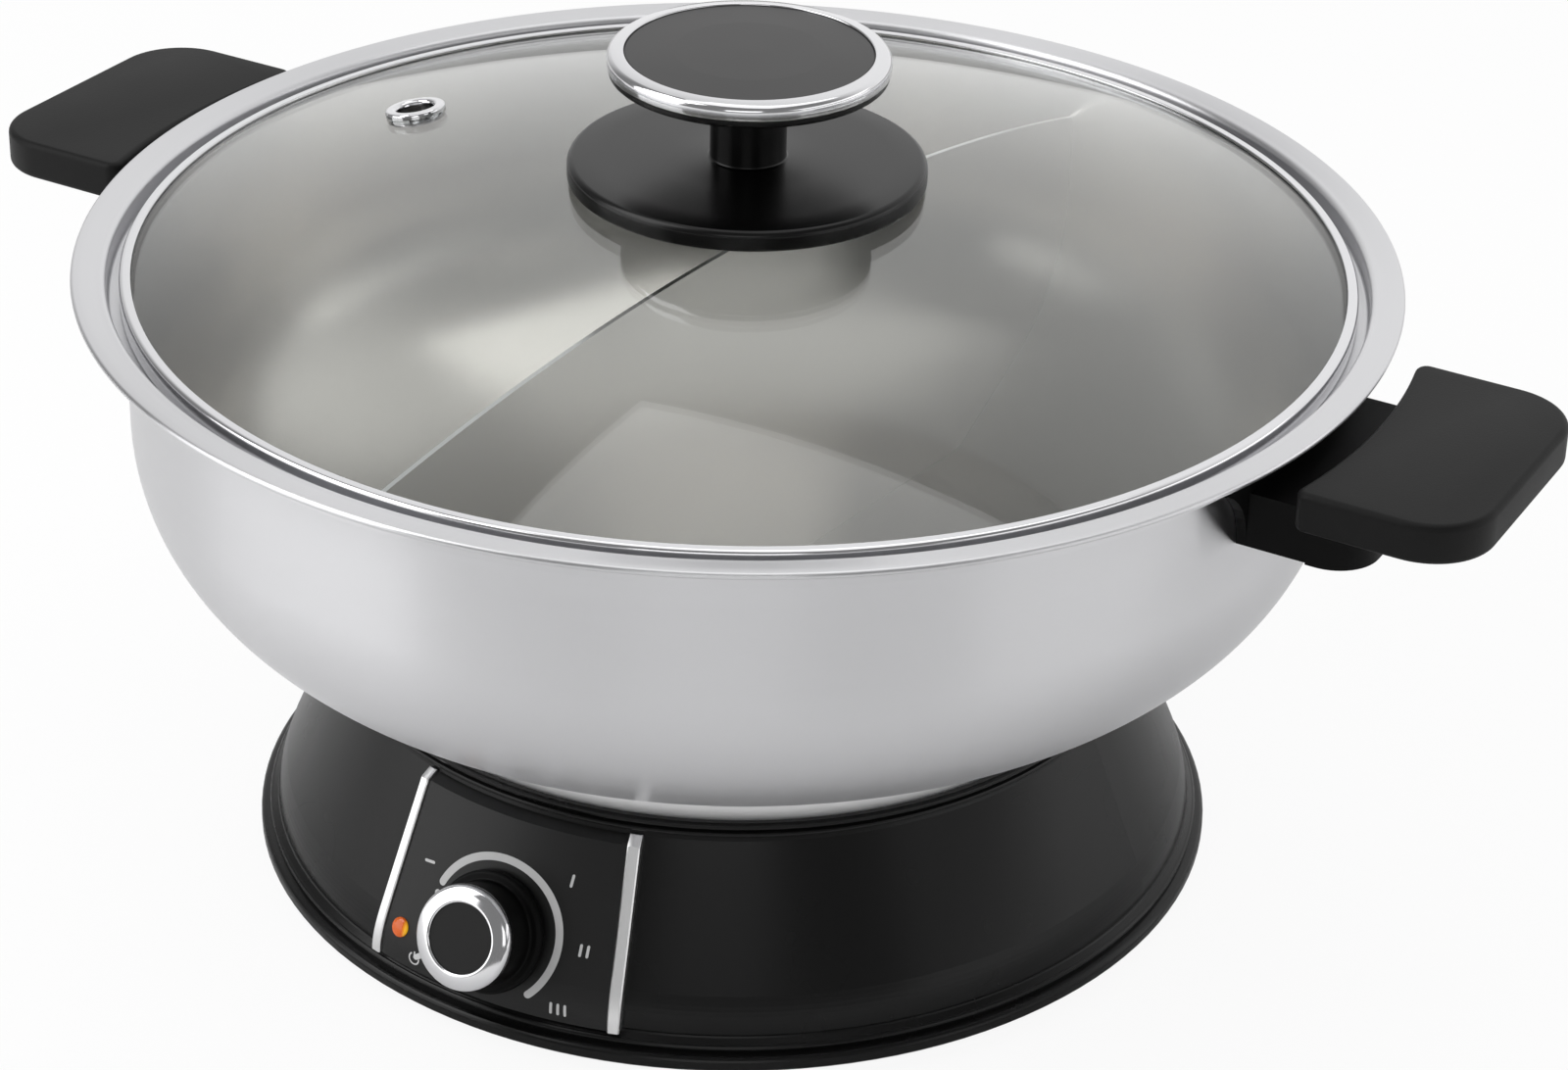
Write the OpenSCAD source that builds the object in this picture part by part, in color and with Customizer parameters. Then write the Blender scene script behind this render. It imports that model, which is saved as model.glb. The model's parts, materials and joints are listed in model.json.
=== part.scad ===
// Electric hot pot: a divided steel pot with two side handles and a domed glass lid,
// standing on a heated base with one temperature dial.
// Millimetres. +Z is up and the feet stand on z = 0. The dial faces -Y, the handles lie along X.

/* [Base] */
// Height of the base at its top rim
base_h = 59; // [52:0.5:66]
// Radius inside the top rim, which the foot of the pot drops into
base_mouth_r = 98.6; // [96:0.2:99.4]
// Height of the neck, just under the top rim
neck_z = 53.8; // [47:0.2:54.5]
// Outer radius of the neck
neck_r = 99.9; // [99.2:0.1:101]
// Height at which the cone of the base ends and its skirt begins
cone_foot_z = 20.3; // [17:0.1:24]
// Outer radius at the foot of the cone
cone_foot_r = 114.4; // [111:0.2:115.4]
// Outer radius at the bottom of the skirt
skirt_r = 116.6; // [116.2:0.1:117.6]
// Height at which the skirt meets the foot flange
skirt_z = 11; // [10.4:0.1:12]
// Outer radius of the foot flange
flange_r = 121.3; // [120.6:0.1:124]
// Thickness of the housing wall
housing_wall = 2.5; // [2:0.1:3]
// Thickness of the bottom plate
bottom_plate_t = 2.2; // [1.6:0.1:3]

/* [Feet] */
// Number of rubber feet
foot_count = 6; // [4:1:8]
// Radius of the circle that the feet stand on
foot_circle_r = 108; // [98:1:109]
// Radius of one foot
foot_r = 7; // [5:0.5:7.5]
// Height of a foot under the base
foot_h = 3.6; // [2.6:0.2:5]

/* [Control panel] */
// Half angle of the raised panel, seen from above
panel_half_angle = 16.3; // [15.4:0.1:19]
// How far the panel stands out from the cone
panel_proud = 2.2; // [1.6:0.1:3]
// Height of the panel's upper edge
panel_top_z = 52.4; // [46:0.2:52.8]
// Width of a trim strip, as an angle seen from above
strip_angle = 1.15; // [0.8:0.05:1.8]
// How far a trim strip stands out from the panel
strip_proud = 0.75; // [0.4:0.05:1.2]
// Height of the dial's centre
dial_z = 27.3; // [25.8:0.1:31]
// Radius of the dial's skirt
dial_skirt_r = 14.6; // [13.4:0.1:15]
// Radius of the dial's grip
dial_grip_r = 12.2; // [11:0.1:13]
// Height of the dial above the panel
dial_h = 14.4; // [12:0.2:18]
// Radius of the black disc in the dial's face
dial_face_r = 8.3; // [6.5:0.1:9.5]
// Radius of the control shaft
shaft_r = 3; // [2.5:0.1:3.5]
// Radius of the indicator lens
lens_r = 2.4; // [1.8:0.1:3]
// Height of the indicator lens
lens_z = 19.6; // [17:0.2:24]

/* [Heater] */
// Radius of the heating plate
plate_r = 95.4; // [90:0.2:96.2]
// Thickness of the heating plate
plate_t = 4.5; // [4:0.1:6]
// How far the heating plate lies below the top rim
plate_drop = 2.5; // [2:0.1:3.2]
// Radius of the element's ring
element_ring_r = 62; // [56:1:76]
// Radius of the element's tube
element_r = 3.4; // [3:0.1:3.8]
// Radius of the circle of tie rods
tie_circle_r = 42; // [36:1:48]
// Gap between the element and the drip pan under it
pan_gap = 0.6; // [0.4:0.1:1.5]

/* [Cord inlet] */
// Radius of the hole for the supply cord
cord_hole_r = 3.6; // [3:0.1:4.2]
// Height of the cord inlet
inlet_z = 20; // [19.5:0.5:23]

/* [Pot] */
// Height of the pot from its foot to the crown of its rim
pot_h = 103.2; // [98:0.2:112]
// Outer radius of the rolled rim
rim_r = 160; // [157:0.5:161]
// Outer radius of the upright wall
wall_r = 148; // [144:0.2:148.2]
// Thickness of the pot's sheet
sheet_t = 0.9; // [0.7:0.05:1.2]
// Radius of the curve from the wall to the floor
curve_r = 50; // [44:0.5:54]
// Height from the pot's foot to the start of the upright wall
curve_z = 65.5; // [61:0.5:68]
// Outer radius of the flat floor
floor_r = 98; // [94:0.2:98.2]
// Radius of the disc bonded under the floor
base_disc_r = 97.5; // [90:0.2:97.8]
// Thickness of the disc bonded under the floor
base_disc_t = 5.8; // [4.5:0.1:7]
// Radius of the inner edge of the rim flange
rim_inner_r = 151.8; // [150.6:0.2:152.6]
// Depth of the lid's seat below the rim's crown
seat_depth = 6.5; // [5.8:0.1:7.2]

/* [Divider] */
// Thickness of the divider
divider_t = 1.2; // [0.8:0.1:2]
// Turn of the divider away from the front-to-back line
divider_turn = 6; // [0:0.5:10]
// Height of the divider's middle, from the pot's foot
divider_mid_h = 103; // [90:0.5:104]
// How far the divider's ends lie below its middle
divider_arch = 16; // [8:0.5:24]

/* [Handles] */
// Distance from the middle of the pot to a grip's outer edge
grip_reach = 203.5; // [196:0.5:215]
// Gap between the rim and a grip
grip_gap = 4.2; // [3:0.1:7]
// Half width of a grip beside the rim
grip_half_in = 35.6; // [33:0.2:39]
// Half width of a grip at its outer edge
grip_half_out = 38.4; // [35:0.2:44]
// Thickness of a grip
grip_t = 12; // [10:0.2:14]
// Radius of a grip's outer corners
grip_corner_r = 16; // [10:0.5:20]
// Rounding of a grip's top edge
grip_round = 2; // [1:0.1:2.6]
// Half width of the guard between the wall and a grip
guard_half = 29; // [26:0.5:31]
// Height of the guard
guard_h = 13.8; // [12.6:0.2:16]
// Distance from the middle of the pot to the seam between guard and grip
seam_x = 162.5; // [161:0.2:164]
// Length of the block under a grip
block_len = 13.4; // [11:0.2:18]

/* [Lid] */
// Outer radius of the lid's rim ring
lid_r = 148.9; // [148.2:0.1:150]
// Height of the lid's rim ring
ring_h = 5.6; // [5.2:0.1:6.4]
// Thickness of the ring's sheet
ring_t = 0.6; // [0.4:0.05:0.8]
// Rise of the glass dome
dome_rise = 22.4; // [18:0.2:30]
// Thickness of the glass
glass_t = 4; // [3.4:0.1:4.2]
// Distance of the steam vent from the middle
vent_circle_r = 99.8; // [60:1:120]
// Direction of the steam vent, from the +X axis
vent_angle = 177; // [90:1:270]
// Radius of the steam hole
vent_hole_r = 4.7; // [3:0.1:5.2]
// Outer radius of the vent's eyelet
eyelet_r = 7.6; // [7.2:0.1:9]

/* [Lid knob] */
// Height of the knob above the glass
knob_h = 31.2; // [27:0.2:40]
// Radius of the knob's saucer
saucer_r = 43.3; // [36:0.5:48]
// Radius of the knob's stem
stem_r = 9.2; // [8:0.1:11]
// Radius of the chrome ring round the knob's head
head_r = 33.9; // [30:0.2:38]
// Radius of the black inlay in the knob's head
inlay_r = 29.8; // [25:0.2:29.9]

/* [Hidden] */
$fn = 96;

// Clearances
seat_gap = 0.05;        // between two pieces of one body that lie on each other's curved faces
slip_gap = 0.1;         // round a screw or sleeve in its hole
running_gap = 0.05;     // round the control shaft in the thermostat
dial_gap = 0.5;         // between the dial and the panel
floor_gap = 0.15;       // between the divider and the pot's wall
cut = 1;                // how far a cutting solid runs past the face that it cuts

// Colours
black_plastic = "#232324";
satin_black = "#2b2b2c";
steel = "#c9c9cb";
bright_steel = "#dcdcde";
aluminium = "#b4b6b8";
rubber_black = "#1a1a1a";

function arc(c, r, from, to, steps) =
    [for (i = [0 : steps]) let (a = from + (to - from) * i / steps) c + r * [cos(a), sin(a)]];
function ellipse(c, rx, ry, from, to, steps) =
    [for (i = [0 : steps]) let (a = from + (to - from) * i / steps) c + [rx * cos(a), ry * sin(a)]];
function reversed(list) = [for (i = [len(list) - 1 : -1 : 0]) list[i]];
function mirrored(points) = [for (p = points) [-p.x, p.y]];

// A piece of revolution between two angles, counted from -Y towards +X
module sector(from, to) {
    rotate([0, 0, from - 90]) rotate_extrude(angle = to - from) children();
}

// Places children on the panel, with +Z along the surface's normal
module on_panel(angle, z, rise = 0) {
    rotate([0, 0, angle]) translate([0, -panel_r(z), z]) rotate([90 - cone_lean, 0, 0])
        translate([0, 0, rise]) children();
}

module around(count, first = 0) {
    for (i = [0 : count - 1]) rotate([0, 0, first + 360 / count * i]) children();
}

// ---- Base ----

cone_slope = (cone_foot_r - neck_r) / (neck_z - cone_foot_z);
cone_lean = atan(cone_slope);
function body_r(z) = z >= cone_foot_z
    ? cone_foot_r - (z - cone_foot_z) * cone_slope
    : cone_foot_r + (skirt_r - cone_foot_r) * sin(90 * (cone_foot_z - z) / (cone_foot_z - skirt_z));
function panel_r(z) = body_r(z) + panel_proud;

pan_t = 1;
plate_top_z = base_h - plate_drop;
ledge_z = plate_top_z - plate_t - pan_t;
ledge_r = base_mouth_r - 5;
ledge_t = 2.6;
bottom_z = foot_h;
bottom_top_z = bottom_z + bottom_plate_t;
bottom_plate_r = skirt_r + 0.2;
body_steps = 8;
skirt_line = [for (i = [0 : body_steps]) let (z = skirt_z + (cone_foot_z - skirt_z) * i / body_steps)
    [body_r(z), z]];

// Ridges of the foot flange, from the floor up to the skirt
flange_line = concat(
    [[flange_r - 0.9, bottom_z], [flange_r, bottom_z + 0.9]],
    arc([flange_r - 1.4, bottom_z + 2.4], 1.4, 0, 80, 4),
    [[flange_r - 2.4, bottom_z + 4]],
    arc([flange_r - 3.2, bottom_z + 5], 1, 0, 80, 4),
    [[skirt_r + 0.5, skirt_z - 0.5], [skirt_r + 0.3, skirt_z - 0.1]]);
// Two beads of the top rim, from the neck up to the mouth
bead_r = neck_r + 0.9;
bead_line = concat(
    [[neck_r - 0.4, base_h - 4]],
    arc([bead_r - 0.7, base_h - 3.1], 0.7, -70, 80, 5),
    [[bead_r - 1, base_h - 2.2]],
    arc([bead_r - 0.9, base_h - 1], 0.9, -60, 90, 5));

housing_line = concat(flange_line, skirt_line, [[neck_r, neck_z]], bead_line);
housing_cavity = concat(
    [[base_mouth_r, base_h + cut], [base_mouth_r, ledge_z], [ledge_r, ledge_z],
     [ledge_r, ledge_z - ledge_t], [body_r(ledge_z - ledge_t) - housing_wall, ledge_z - ledge_t]],
    [for (p = reversed(skirt_line)) [p.x - housing_wall, p.y]],
    [[skirt_r - housing_wall, bottom_top_z], [bottom_plate_r + seat_gap, bottom_top_z],
     [bottom_plate_r + seat_gap, bottom_z - cut], [0, bottom_z - cut], [0, base_h + cut]]);

dial_lean = cone_lean;
thermostat_screw_u = 10.6;
thermostat_face = -8;       // thermostat's front face, along the dial's axis from the panel's face
thermostat_size = [28, 20, 16];
shaft_end = -20;
thermostat_screw_r = 1.6;
shaft_hole_r = shaft_r + 1.2;

screw_circle_r = 104;
screw_boss_r = 4.4;
screw_boss_top = 31;
base_screw_r = 1.8;
base_screw_head_r = 3.4;
base_screw_len = 14;
base_screw_count = 4;

gland_body_r = cord_hole_r + 2.4;
gland_flange_r = gland_body_r + 2;
gland_pad_r = gland_flange_r + 0.8;
gland_face_y = body_r(inlet_z) + 2;

module base_profile() {
    difference() {
        polygon(concat([[0, bottom_z]], housing_line, [[0, base_h]]));
        polygon(housing_cavity);
    }
}

// Moulded housing: a hollow cone with a beaded top rim, a ridged foot flange and inside bosses
module base_housing() color(black_plastic) {
    difference() {
        union() {
            rotate_extrude() base_profile();
            // bosses for the bottom screws, blended into the wall
            intersection() {
                around(base_screw_count, 45) translate([0, -screw_circle_r, bottom_top_z + seat_gap])
                    cylinder(r = screw_boss_r, h = screw_boss_top - bottom_top_z);
                rotate_extrude() polygon(concat([[0, bottom_z]], housing_line, [[0, base_h]]));
            }
            // bosses that carry the thermostat
            for (u = [-1, 1]) on_panel(0, dial_z, thermostat_face)
                translate([u * thermostat_screw_u, 0, 0])
                    cylinder(r = 3, h = -thermostat_face - panel_proud - housing_wall / 2);
            // flat pad at the back for the cord gland
            intersection() {
                translate([0, gland_face_y, inlet_z]) rotate([90, 0, 0])
                    cylinder(r = gland_pad_r, h = housing_wall + 4);
                translate([0, 0, bottom_top_z + seat_gap]) cylinder(r = flange_r, h = base_h);
            }
        }
        on_panel(0, dial_z, -20) cylinder(r = shaft_hole_r, h = 24);
        for (u = [-1, 1]) on_panel(0, dial_z, -20)
            translate([u * thermostat_screw_u, 0, 0]) cylinder(r = thermostat_screw_r + slip_gap, h = 24);
        on_panel(-lens_angle, lens_z, -14) cylinder(r = lens_barrel_r + slip_gap, h = 18);
        translate([0, gland_face_y + cut, inlet_z]) rotate([90, 0, 0])
            cylinder(r = gland_body_r + slip_gap, h = 24);
        around(base_screw_count, 45) translate([0, -screw_circle_r, bottom_top_z - cut])
            cylinder(r = base_screw_r, h = base_screw_len + cut);
    }
}

lens_angle = 12.6;
lens_barrel_r = lens_r - 0.4;

panel_line = concat(
    [for (i = [0 : body_steps]) let (z = skirt_z + (cone_foot_z - skirt_z) * i / body_steps)
        [panel_r(z), z]],
    [[panel_r(panel_top_z), panel_top_z]]);
panel_seat = concat(
    [for (i = [0 : body_steps]) let (z = skirt_z + (cone_foot_z - skirt_z) * i / body_steps)
        [body_r(z) + seat_gap, z]],
    [[neck_r + seat_gap, neck_z]]);

// Raised panel that follows the cone between the two trim strips
module control_panel() color(satin_black) {
    difference() {
        sector(-panel_half_angle, panel_half_angle) polygon(concat(panel_seat, reversed(panel_line)));
        on_panel(0, dial_z, -10) cylinder(r = shaft_hole_r, h = 12);
        for (u = [-1, 1]) on_panel(0, dial_z, -10) translate([u * thermostat_screw_u, 0, 0]) {
            cylinder(r = thermostat_screw_r + slip_gap, h = 12);
            translate([0, 0, 10 - thermostat_head_h]) cylinder(r = thermostat_head_r + slip_gap, h = 4);
        }
        on_panel(-lens_angle, lens_z, -10) cylinder(r = lens_barrel_r + slip_gap, h = 12);
    }
}

strip_bend = [panel_r(panel_top_z) + strip_proud, panel_top_z + 0.2];

module trim_strip(from, to) color(bright_steel) {
    sector(from, to) polygon(concat(
        [for (p = panel_line) [p.x + seat_gap, p.y]],
        [[neck_r + seat_gap + 0.1, neck_z + 0.1], [neck_r + strip_proud + 0.1, neck_z + 0.5], strip_bend],
        reversed([for (i = [0 : body_steps]) let (z = skirt_z + (cone_foot_z - skirt_z) * i / body_steps)
            [panel_r(z) + strip_proud, z]])));
}

module trim_strip_left() trim_strip(-panel_half_angle, strip_angle - panel_half_angle);
module trim_strip_right() trim_strip(panel_half_angle - strip_angle, panel_half_angle);

vent_rows = 3;
vent_slot_w = 3;
vent_slot_l = 16;

// Flat bottom cover with rows of cooling slots
module bottom_plate() color(black_plastic) {
    difference() {
        translate([0, 0, bottom_z]) cylinder(r = bottom_plate_r, h = bottom_plate_t - seat_gap);
        around(12, 15) for (row = [0 : vent_rows - 1])
            translate([-vent_slot_w / 2 , 56 + row * (vent_slot_l + 3) - vent_slot_l / 2, bottom_z - cut])
                cube([vent_slot_w, vent_slot_l, bottom_plate_t + 2 * cut]);
        around(foot_count, 180 / foot_count) translate([0, -foot_circle_r, bottom_z - cut])
            cylinder(r = foot_stem_r, h = bottom_plate_t + 2 * cut);
        around(base_screw_count, 45) translate([0, -screw_circle_r, bottom_z - cut]) {
            cylinder(r = base_screw_r + slip_gap, h = bottom_plate_t + 2 * cut);
            cylinder(r = base_screw_head_r + slip_gap, h = cut + base_screw_head_h);
        }
        around(3, 60) translate([0, -tie_circle_r, bottom_z - cut]) {
            cylinder(r = tie_r + slip_gap, h = bottom_plate_t + 2 * cut);
        }
    }
}

foot_stem_r = 2.6;
base_screw_head_h = 1.2;

// Rubber feet, each with a stem pressed through the bottom plate
module feet() color(rubber_black) {
    around(foot_count, 180 / foot_count) translate([0, -foot_circle_r, 0]) rotate_extrude()
        polygon(concat(
            [[0, 0], [foot_r - 1.2, 0]],
            arc([foot_r - 1.2, 1.2], 1.2, -90, 0, 4),
            [[foot_r, foot_h - seat_gap], [foot_stem_r - seat_gap, foot_h - seat_gap],
             [foot_stem_r - seat_gap, bottom_top_z], [foot_stem_r - 0.8, bottom_top_z + 1.2],
             [0, bottom_top_z + 1.2]]));
}

module base_screws() color(steel) {
    around(base_screw_count, 45) translate([0, -screw_circle_r, bottom_z + 0.1]) {
        difference() {
            cylinder(r = base_screw_head_r, h = base_screw_head_h - 0.1);
            translate([0, 0, -cut]) cylinder(r = 1.3, h = cut + 0.6, $fn = 6);
        }
        cylinder(r = base_screw_r - seat_gap, h = base_screw_len - 1);
    }
}

// ---- Heater ----

pan_r = plate_r - 6.4;
pan_z = ledge_z - 2 * element_r - pan_gap;
pan_hole_r = 18;
tie_r = 2;
tie_nut_r = 4.2;
tie_nut_h = 2.6;

// Pressed steel pan: its flange rests on the housing's ledge and the plate rests on the flange
module plate_carrier() color(steel) {
    difference() {
        rotate_extrude() polygon([
            [base_mouth_r - 0.3, ledge_z], [base_mouth_r - 0.3, ledge_z + pan_t],
            [pan_r - pan_t, ledge_z + pan_t], [pan_r - pan_t, pan_z + pan_t],
            [pan_hole_r, pan_z + pan_t], [pan_hole_r, pan_z], [pan_r, pan_z], [pan_r, ledge_z]]);
        around(3, 60) translate([0, -tie_circle_r, pan_z - cut])
            cylinder(r = tie_r + slip_gap, h = pan_t + 2 * cut);
        for (side = [-1, 1]) translate([side * terminal_x, terminal_y, pan_z - cut])
            cylinder(r = element_r + 1.5, h = pan_t + 2 * cut);
    }
}

// Cast plate with a shallow ring groove on top and a boss under each tie rod
module heating_plate() color(aluminium) {
    difference() {
        rotate_extrude() polygon(concat(
            [[0, ledge_z + pan_t], [plate_r - 0.6, ledge_z + pan_t], [plate_r, ledge_z + pan_t + 0.6]],
            arc([plate_r - 1, plate_top_z - 1], 1, 0, 90, 4),
            [[0, plate_top_z]]));
        for (r = [30, 50, 70, 88]) rotate_extrude() translate([r, plate_top_z - 0.3]) square([0.8, 1]);
        around(3, 60) translate([0, -tie_circle_r, ledge_z]) cylinder(r = tie_r, h = plate_t - 1);
    }
}

element_z = ledge_z + pan_t - element_r;
element_gap_angle = 9;
terminal_x = element_ring_r * sin(element_gap_angle);
terminal_y = element_ring_r * cos(element_gap_angle);

// Tubular element: an open ring under the plate, with a cold leg turned down near each end
module heating_element() color("#8d8f92") {
    leg_r = element_r * 0.76;
    ring_end = element_gap_angle - (leg_r + 0.9) / element_ring_r * 180 / PI;
    rotate([0, 0, 90 + ring_end]) rotate_extrude(angle = 360 - 2 * ring_end)
        translate([element_ring_r, element_z]) circle(r = element_r - seat_gap);
    for (side = [-1, 1]) translate([side * terminal_x, terminal_y, pan_z - 10]) {
        cylinder(r = leg_r, h = element_z - pan_z + 10);
        translate([0, 0, -6]) cylinder(r = 1.2, h = 7);
    }
}

module tie_rods() color(steel) {
    around(3, 60) translate([0, -tie_circle_r, bottom_z - tie_end])
        cylinder(r = tie_r - seat_gap, h = ledge_z + plate_t - 1.2 - bottom_z + tie_end);
}

tie_end = 2.6;

// Hexagon nuts that pull the plate, pan, housing and bottom plate together
module tie_nuts() color(steel) {
    around(3, 60) translate([0, -tie_circle_r, 0]) {
        difference() {
            translate([0, 0, bottom_z - tie_nut_h]) cylinder(r = tie_nut_r, h = tie_nut_h, $fn = 6);
            translate([0, 0, -cut]) cylinder(r = tie_r, h = 10);
        }
        difference() {
            translate([0, 0, pan_z - tie_nut_h]) cylinder(r = tie_nut_r, h = tie_nut_h, $fn = 6);
            translate([0, 0, pan_z - 10]) cylinder(r = tie_r, h = 20);
        }
    }
}

// Disc thermostat held against the middle of the plate by its flange
module thermal_cutout() color("#6b4a2a") {
    translate([0, 0, ledge_z + pan_t - 6]) cylinder(r = 7.5, h = 6);
    translate([0, 0, ledge_z + pan_t - 2]) cylinder(r = 10, h = 2);
    for (side = [-1, 1]) translate([side * 3.2 - 0.4, -2, ledge_z + pan_t - 12]) cube([0.8, 4, 6.5]);
}

// ---- Thermostat, lamp and supply ----

thermostat_head_r = 3;
thermostat_head_h = 1.2;

// Capillary thermostat behind the panel
module thermostat_body() color("#d8d2c0") {
    on_panel(0, dial_z, thermostat_face - seat_gap) difference() {
        union() {
            translate([-thermostat_size.x / 2, -thermostat_size.y / 2, -1]) cube([thermostat_size.x, thermostat_size.y, 1]);
            translate([-thermostat_size.x / 2 + 1, -thermostat_size.y / 2 + 1, -thermostat_size.z])
                cube([thermostat_size.x - 2, thermostat_size.y - 2, thermostat_size.z - 0.5]);
            for (side = [-1, 1]) translate([side * 7 - 3, -0.4, -thermostat_size.z - 5]) cube([6, 0.8, 6]);
        }
        translate([0, 0, shaft_end - thermostat_face]) cylinder(r = shaft_r + running_gap, h = 30);
        for (u = [-1, 1]) translate([u * thermostat_screw_u, 0, -7])
            cylinder(r = thermostat_screw_r, h = 10);
    }
}

module thermostat_screws() color(steel) {
    for (u = [-1, 1]) on_panel(0, dial_z, 0) translate([u * thermostat_screw_u, 0, 0]) {
        translate([0, 0, thermostat_face - 6]) cylinder(r = thermostat_screw_r - seat_gap, h = -thermostat_face + 5.5);
        translate([0, 0, -thermostat_head_h]) cylinder(r = thermostat_head_r, h = thermostat_head_h - 0.1);
    }
}

// Screw terminals where the supply meets the heater's wires
module terminal_block() color("#e7e4da") {
    translate([0, 84, bottom_top_z]) difference() {
        union() {
            translate([-17, -7, 0]) cube([34, 14, 9]);
            for (i = [-1 : 1]) translate([i * 11 - 4, -7, 8]) cube([8, 14, 5]);
        }
        for (i = [-1 : 1]) translate([i * 11, -8, 5]) rotate([-90, 0, 0]) cylinder(r = 1.8, h = 16);
        for (i = [-1 : 1]) translate([i * 11, 0, 8]) cylinder(r = 2, h = 6);
    }
}

gland_flange_t = 2;

// Bushing for the supply cord: a flange outside, a body through the wall and a nut inside
module cord_gland() color(rubber_black) {
    translate([0, gland_face_y, inlet_z]) rotate([-90, 0, 0]) difference() {
        rotate_extrude() polygon([
            [cord_hole_r - 1, -14], [gland_body_r, -14], [gland_body_r, seat_gap],
            [gland_flange_r, seat_gap], [gland_flange_r, gland_flange_t - 0.6],
            [gland_flange_r - 0.8, gland_flange_t], [cord_hole_r - 1, gland_flange_t]]);
        translate([0, 0, -20]) cylinder(r = cord_hole_r, h = 30);
    }
}

// Amber lens, domed at its front, with a barrel through panel and housing
module indicator_lens() color("#f08a1c") {
    on_panel(-lens_angle, lens_z, 0) rotate_extrude() polygon(concat(
        [[0, -6], [lens_barrel_r, -6], [lens_barrel_r, seat_gap], [lens_r, seat_gap]],
        ellipse([0, 0.3], lens_r, 0.9, 0, 90, 8)));
}

module indicator_lamp() color("#e8b070") {
    on_panel(-lens_angle, lens_z, 0) {
        translate([0, 0, -13]) cylinder(r = lens_barrel_r - 0.2, h = 6.9);
        for (side = [-1, 1]) translate([side * 0.8, 0, -16]) cylinder(r = 0.3, h = 4);
    }
}

// ---- Dial ----

module on_dial(rise = 0) {
    on_panel(0, dial_z, rise) children();
}

dial_bore_r = shaft_r + 0.03;
ring_back = dial_h - 3.6;

// Control shaft, with a flat at its outer end that drives the dial
module thermostat_shaft() color(steel) {
    on_dial() difference() {
        translate([0, 0, shaft_end + 0.5]) cylinder(r = shaft_r, h = dial_h - 5 - shaft_end);
        translate([-shaft_r, shaft_r * 0.55, -1]) cube([2 * shaft_r, shaft_r, dial_h]);
    }
}

// Dial: a skirt over the panel, a waist and a grip that carries the chrome ring
module dial_body() color(black_plastic) {
    on_dial() difference() {
        rotate_extrude() polygon(concat(
            [[0, dial_gap], [dial_skirt_r - 0.5, dial_gap], [dial_skirt_r, dial_gap + 0.5]],
            arc([dial_skirt_r - 1, dial_gap + 1.6], 1, 0, 90, 4),
            [[dial_grip_r + 0.4, dial_gap + 2.7], [dial_grip_r, dial_gap + 3.2], [dial_grip_r, ring_back],
             [dial_face_r - 0.3, ring_back], [dial_face_r - 0.3, ring_back + 1.8], [0, ring_back + 1.8]]));
        intersection() {
            translate([0, 0, -cut]) cylinder(r = dial_bore_r, h = dial_h - 3.5);
            translate([-10, -10 + shaft_r * 0.55 + 0.03, -cut]) cube([20, 10, dial_h]);
        }
    }
}

// Polished bezel round the dial's face
module dial_ring() color(bright_steel) {
    on_dial() rotate_extrude() polygon(concat(
        [[dial_face_r, ring_back + seat_gap], [dial_grip_r, ring_back + seat_gap]],
        arc([dial_grip_r - 1.3, ring_back + 1.6], 1.6, -30, 60, 6),
        [[dial_face_r + 0.8, dial_h], [dial_face_r, dial_h - 0.3]]));
}

module dial_face() color(satin_black) {
    on_dial(ring_back + 1.8 + seat_gap) cylinder(r = dial_face_r - seat_gap, h = dial_h - ring_back - 2.3);
}

off_angle = 216;   // where the pointer stands at OFF, from the +X side of the panel

module dial_pointer() color("white") {
    on_dial() rotate([0, 0, off_angle]) translate([dial_grip_r + seat_gap, -0.6, dial_gap + 3.2])
        cube([1.6, 1.2, ring_back - dial_gap - 3.4]);
}

// ---- Pot ----

pot_foot_z = plate_top_z;
pot_floor_z = pot_foot_z + base_disc_t;
rim_top_z = pot_foot_z + pot_h;
curve_c = [wall_r - curve_r, pot_foot_z + curve_z];
floor_edge = [floor_r, pot_floor_z];
to_edge = floor_edge - curve_c;
curve_start = atan2(to_edge.y, to_edge.x) + acos(curve_r / norm(to_edge));
curve_steps = 14;
inner_curve_foot = curve_c + (curve_r - sheet_t) * [cos(curve_start), sin(curve_start)];
inner_floor_r = inner_curve_foot.x
    - (inner_curve_foot.y - pot_floor_z - sheet_t) * tan(-curve_start);

seat_z = rim_top_z - seat_depth;
flange_half = (rim_r - rim_inner_r) / 2;
crown_h = 2.2;
crown_c = [rim_inner_r + flange_half, rim_top_z - crown_h];
lip_z = rim_top_z - 3.6;
crown_steps = 14;
shoulder = 0.9;

bowl_outside = concat(
    [[0, pot_floor_z], floor_edge],
    arc(curve_c, curve_r, curve_start, 0, curve_steps),
    [[wall_r, seat_z - sheet_t - shoulder], [wall_r + shoulder, seat_z - sheet_t],
     [rim_inner_r + sheet_t, seat_z - sheet_t]],
    ellipse(crown_c, flange_half - sheet_t, crown_h - sheet_t, 180, 0, crown_steps),
    [[rim_r - sheet_t, lip_z]]);
bowl_inside = concat(
    [[rim_r, lip_z]],
    ellipse(crown_c, flange_half, crown_h, 0, 180, crown_steps),
    [[rim_inner_r, seat_z], [wall_r - sheet_t + shoulder, seat_z], [wall_r - sheet_t, seat_z - shoulder]],
    arc(curve_c, curve_r - sheet_t, 0, curve_start, curve_steps),
    [[inner_floor_r, pot_floor_z + sheet_t], [0, pot_floor_z + sheet_t]]);

// Drawn steel bowl with a stepped seat for the lid and a rolled rim
module pot_bowl() color(steel) {
    rotate_extrude() polygon(concat(bowl_outside, bowl_inside));
}

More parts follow.
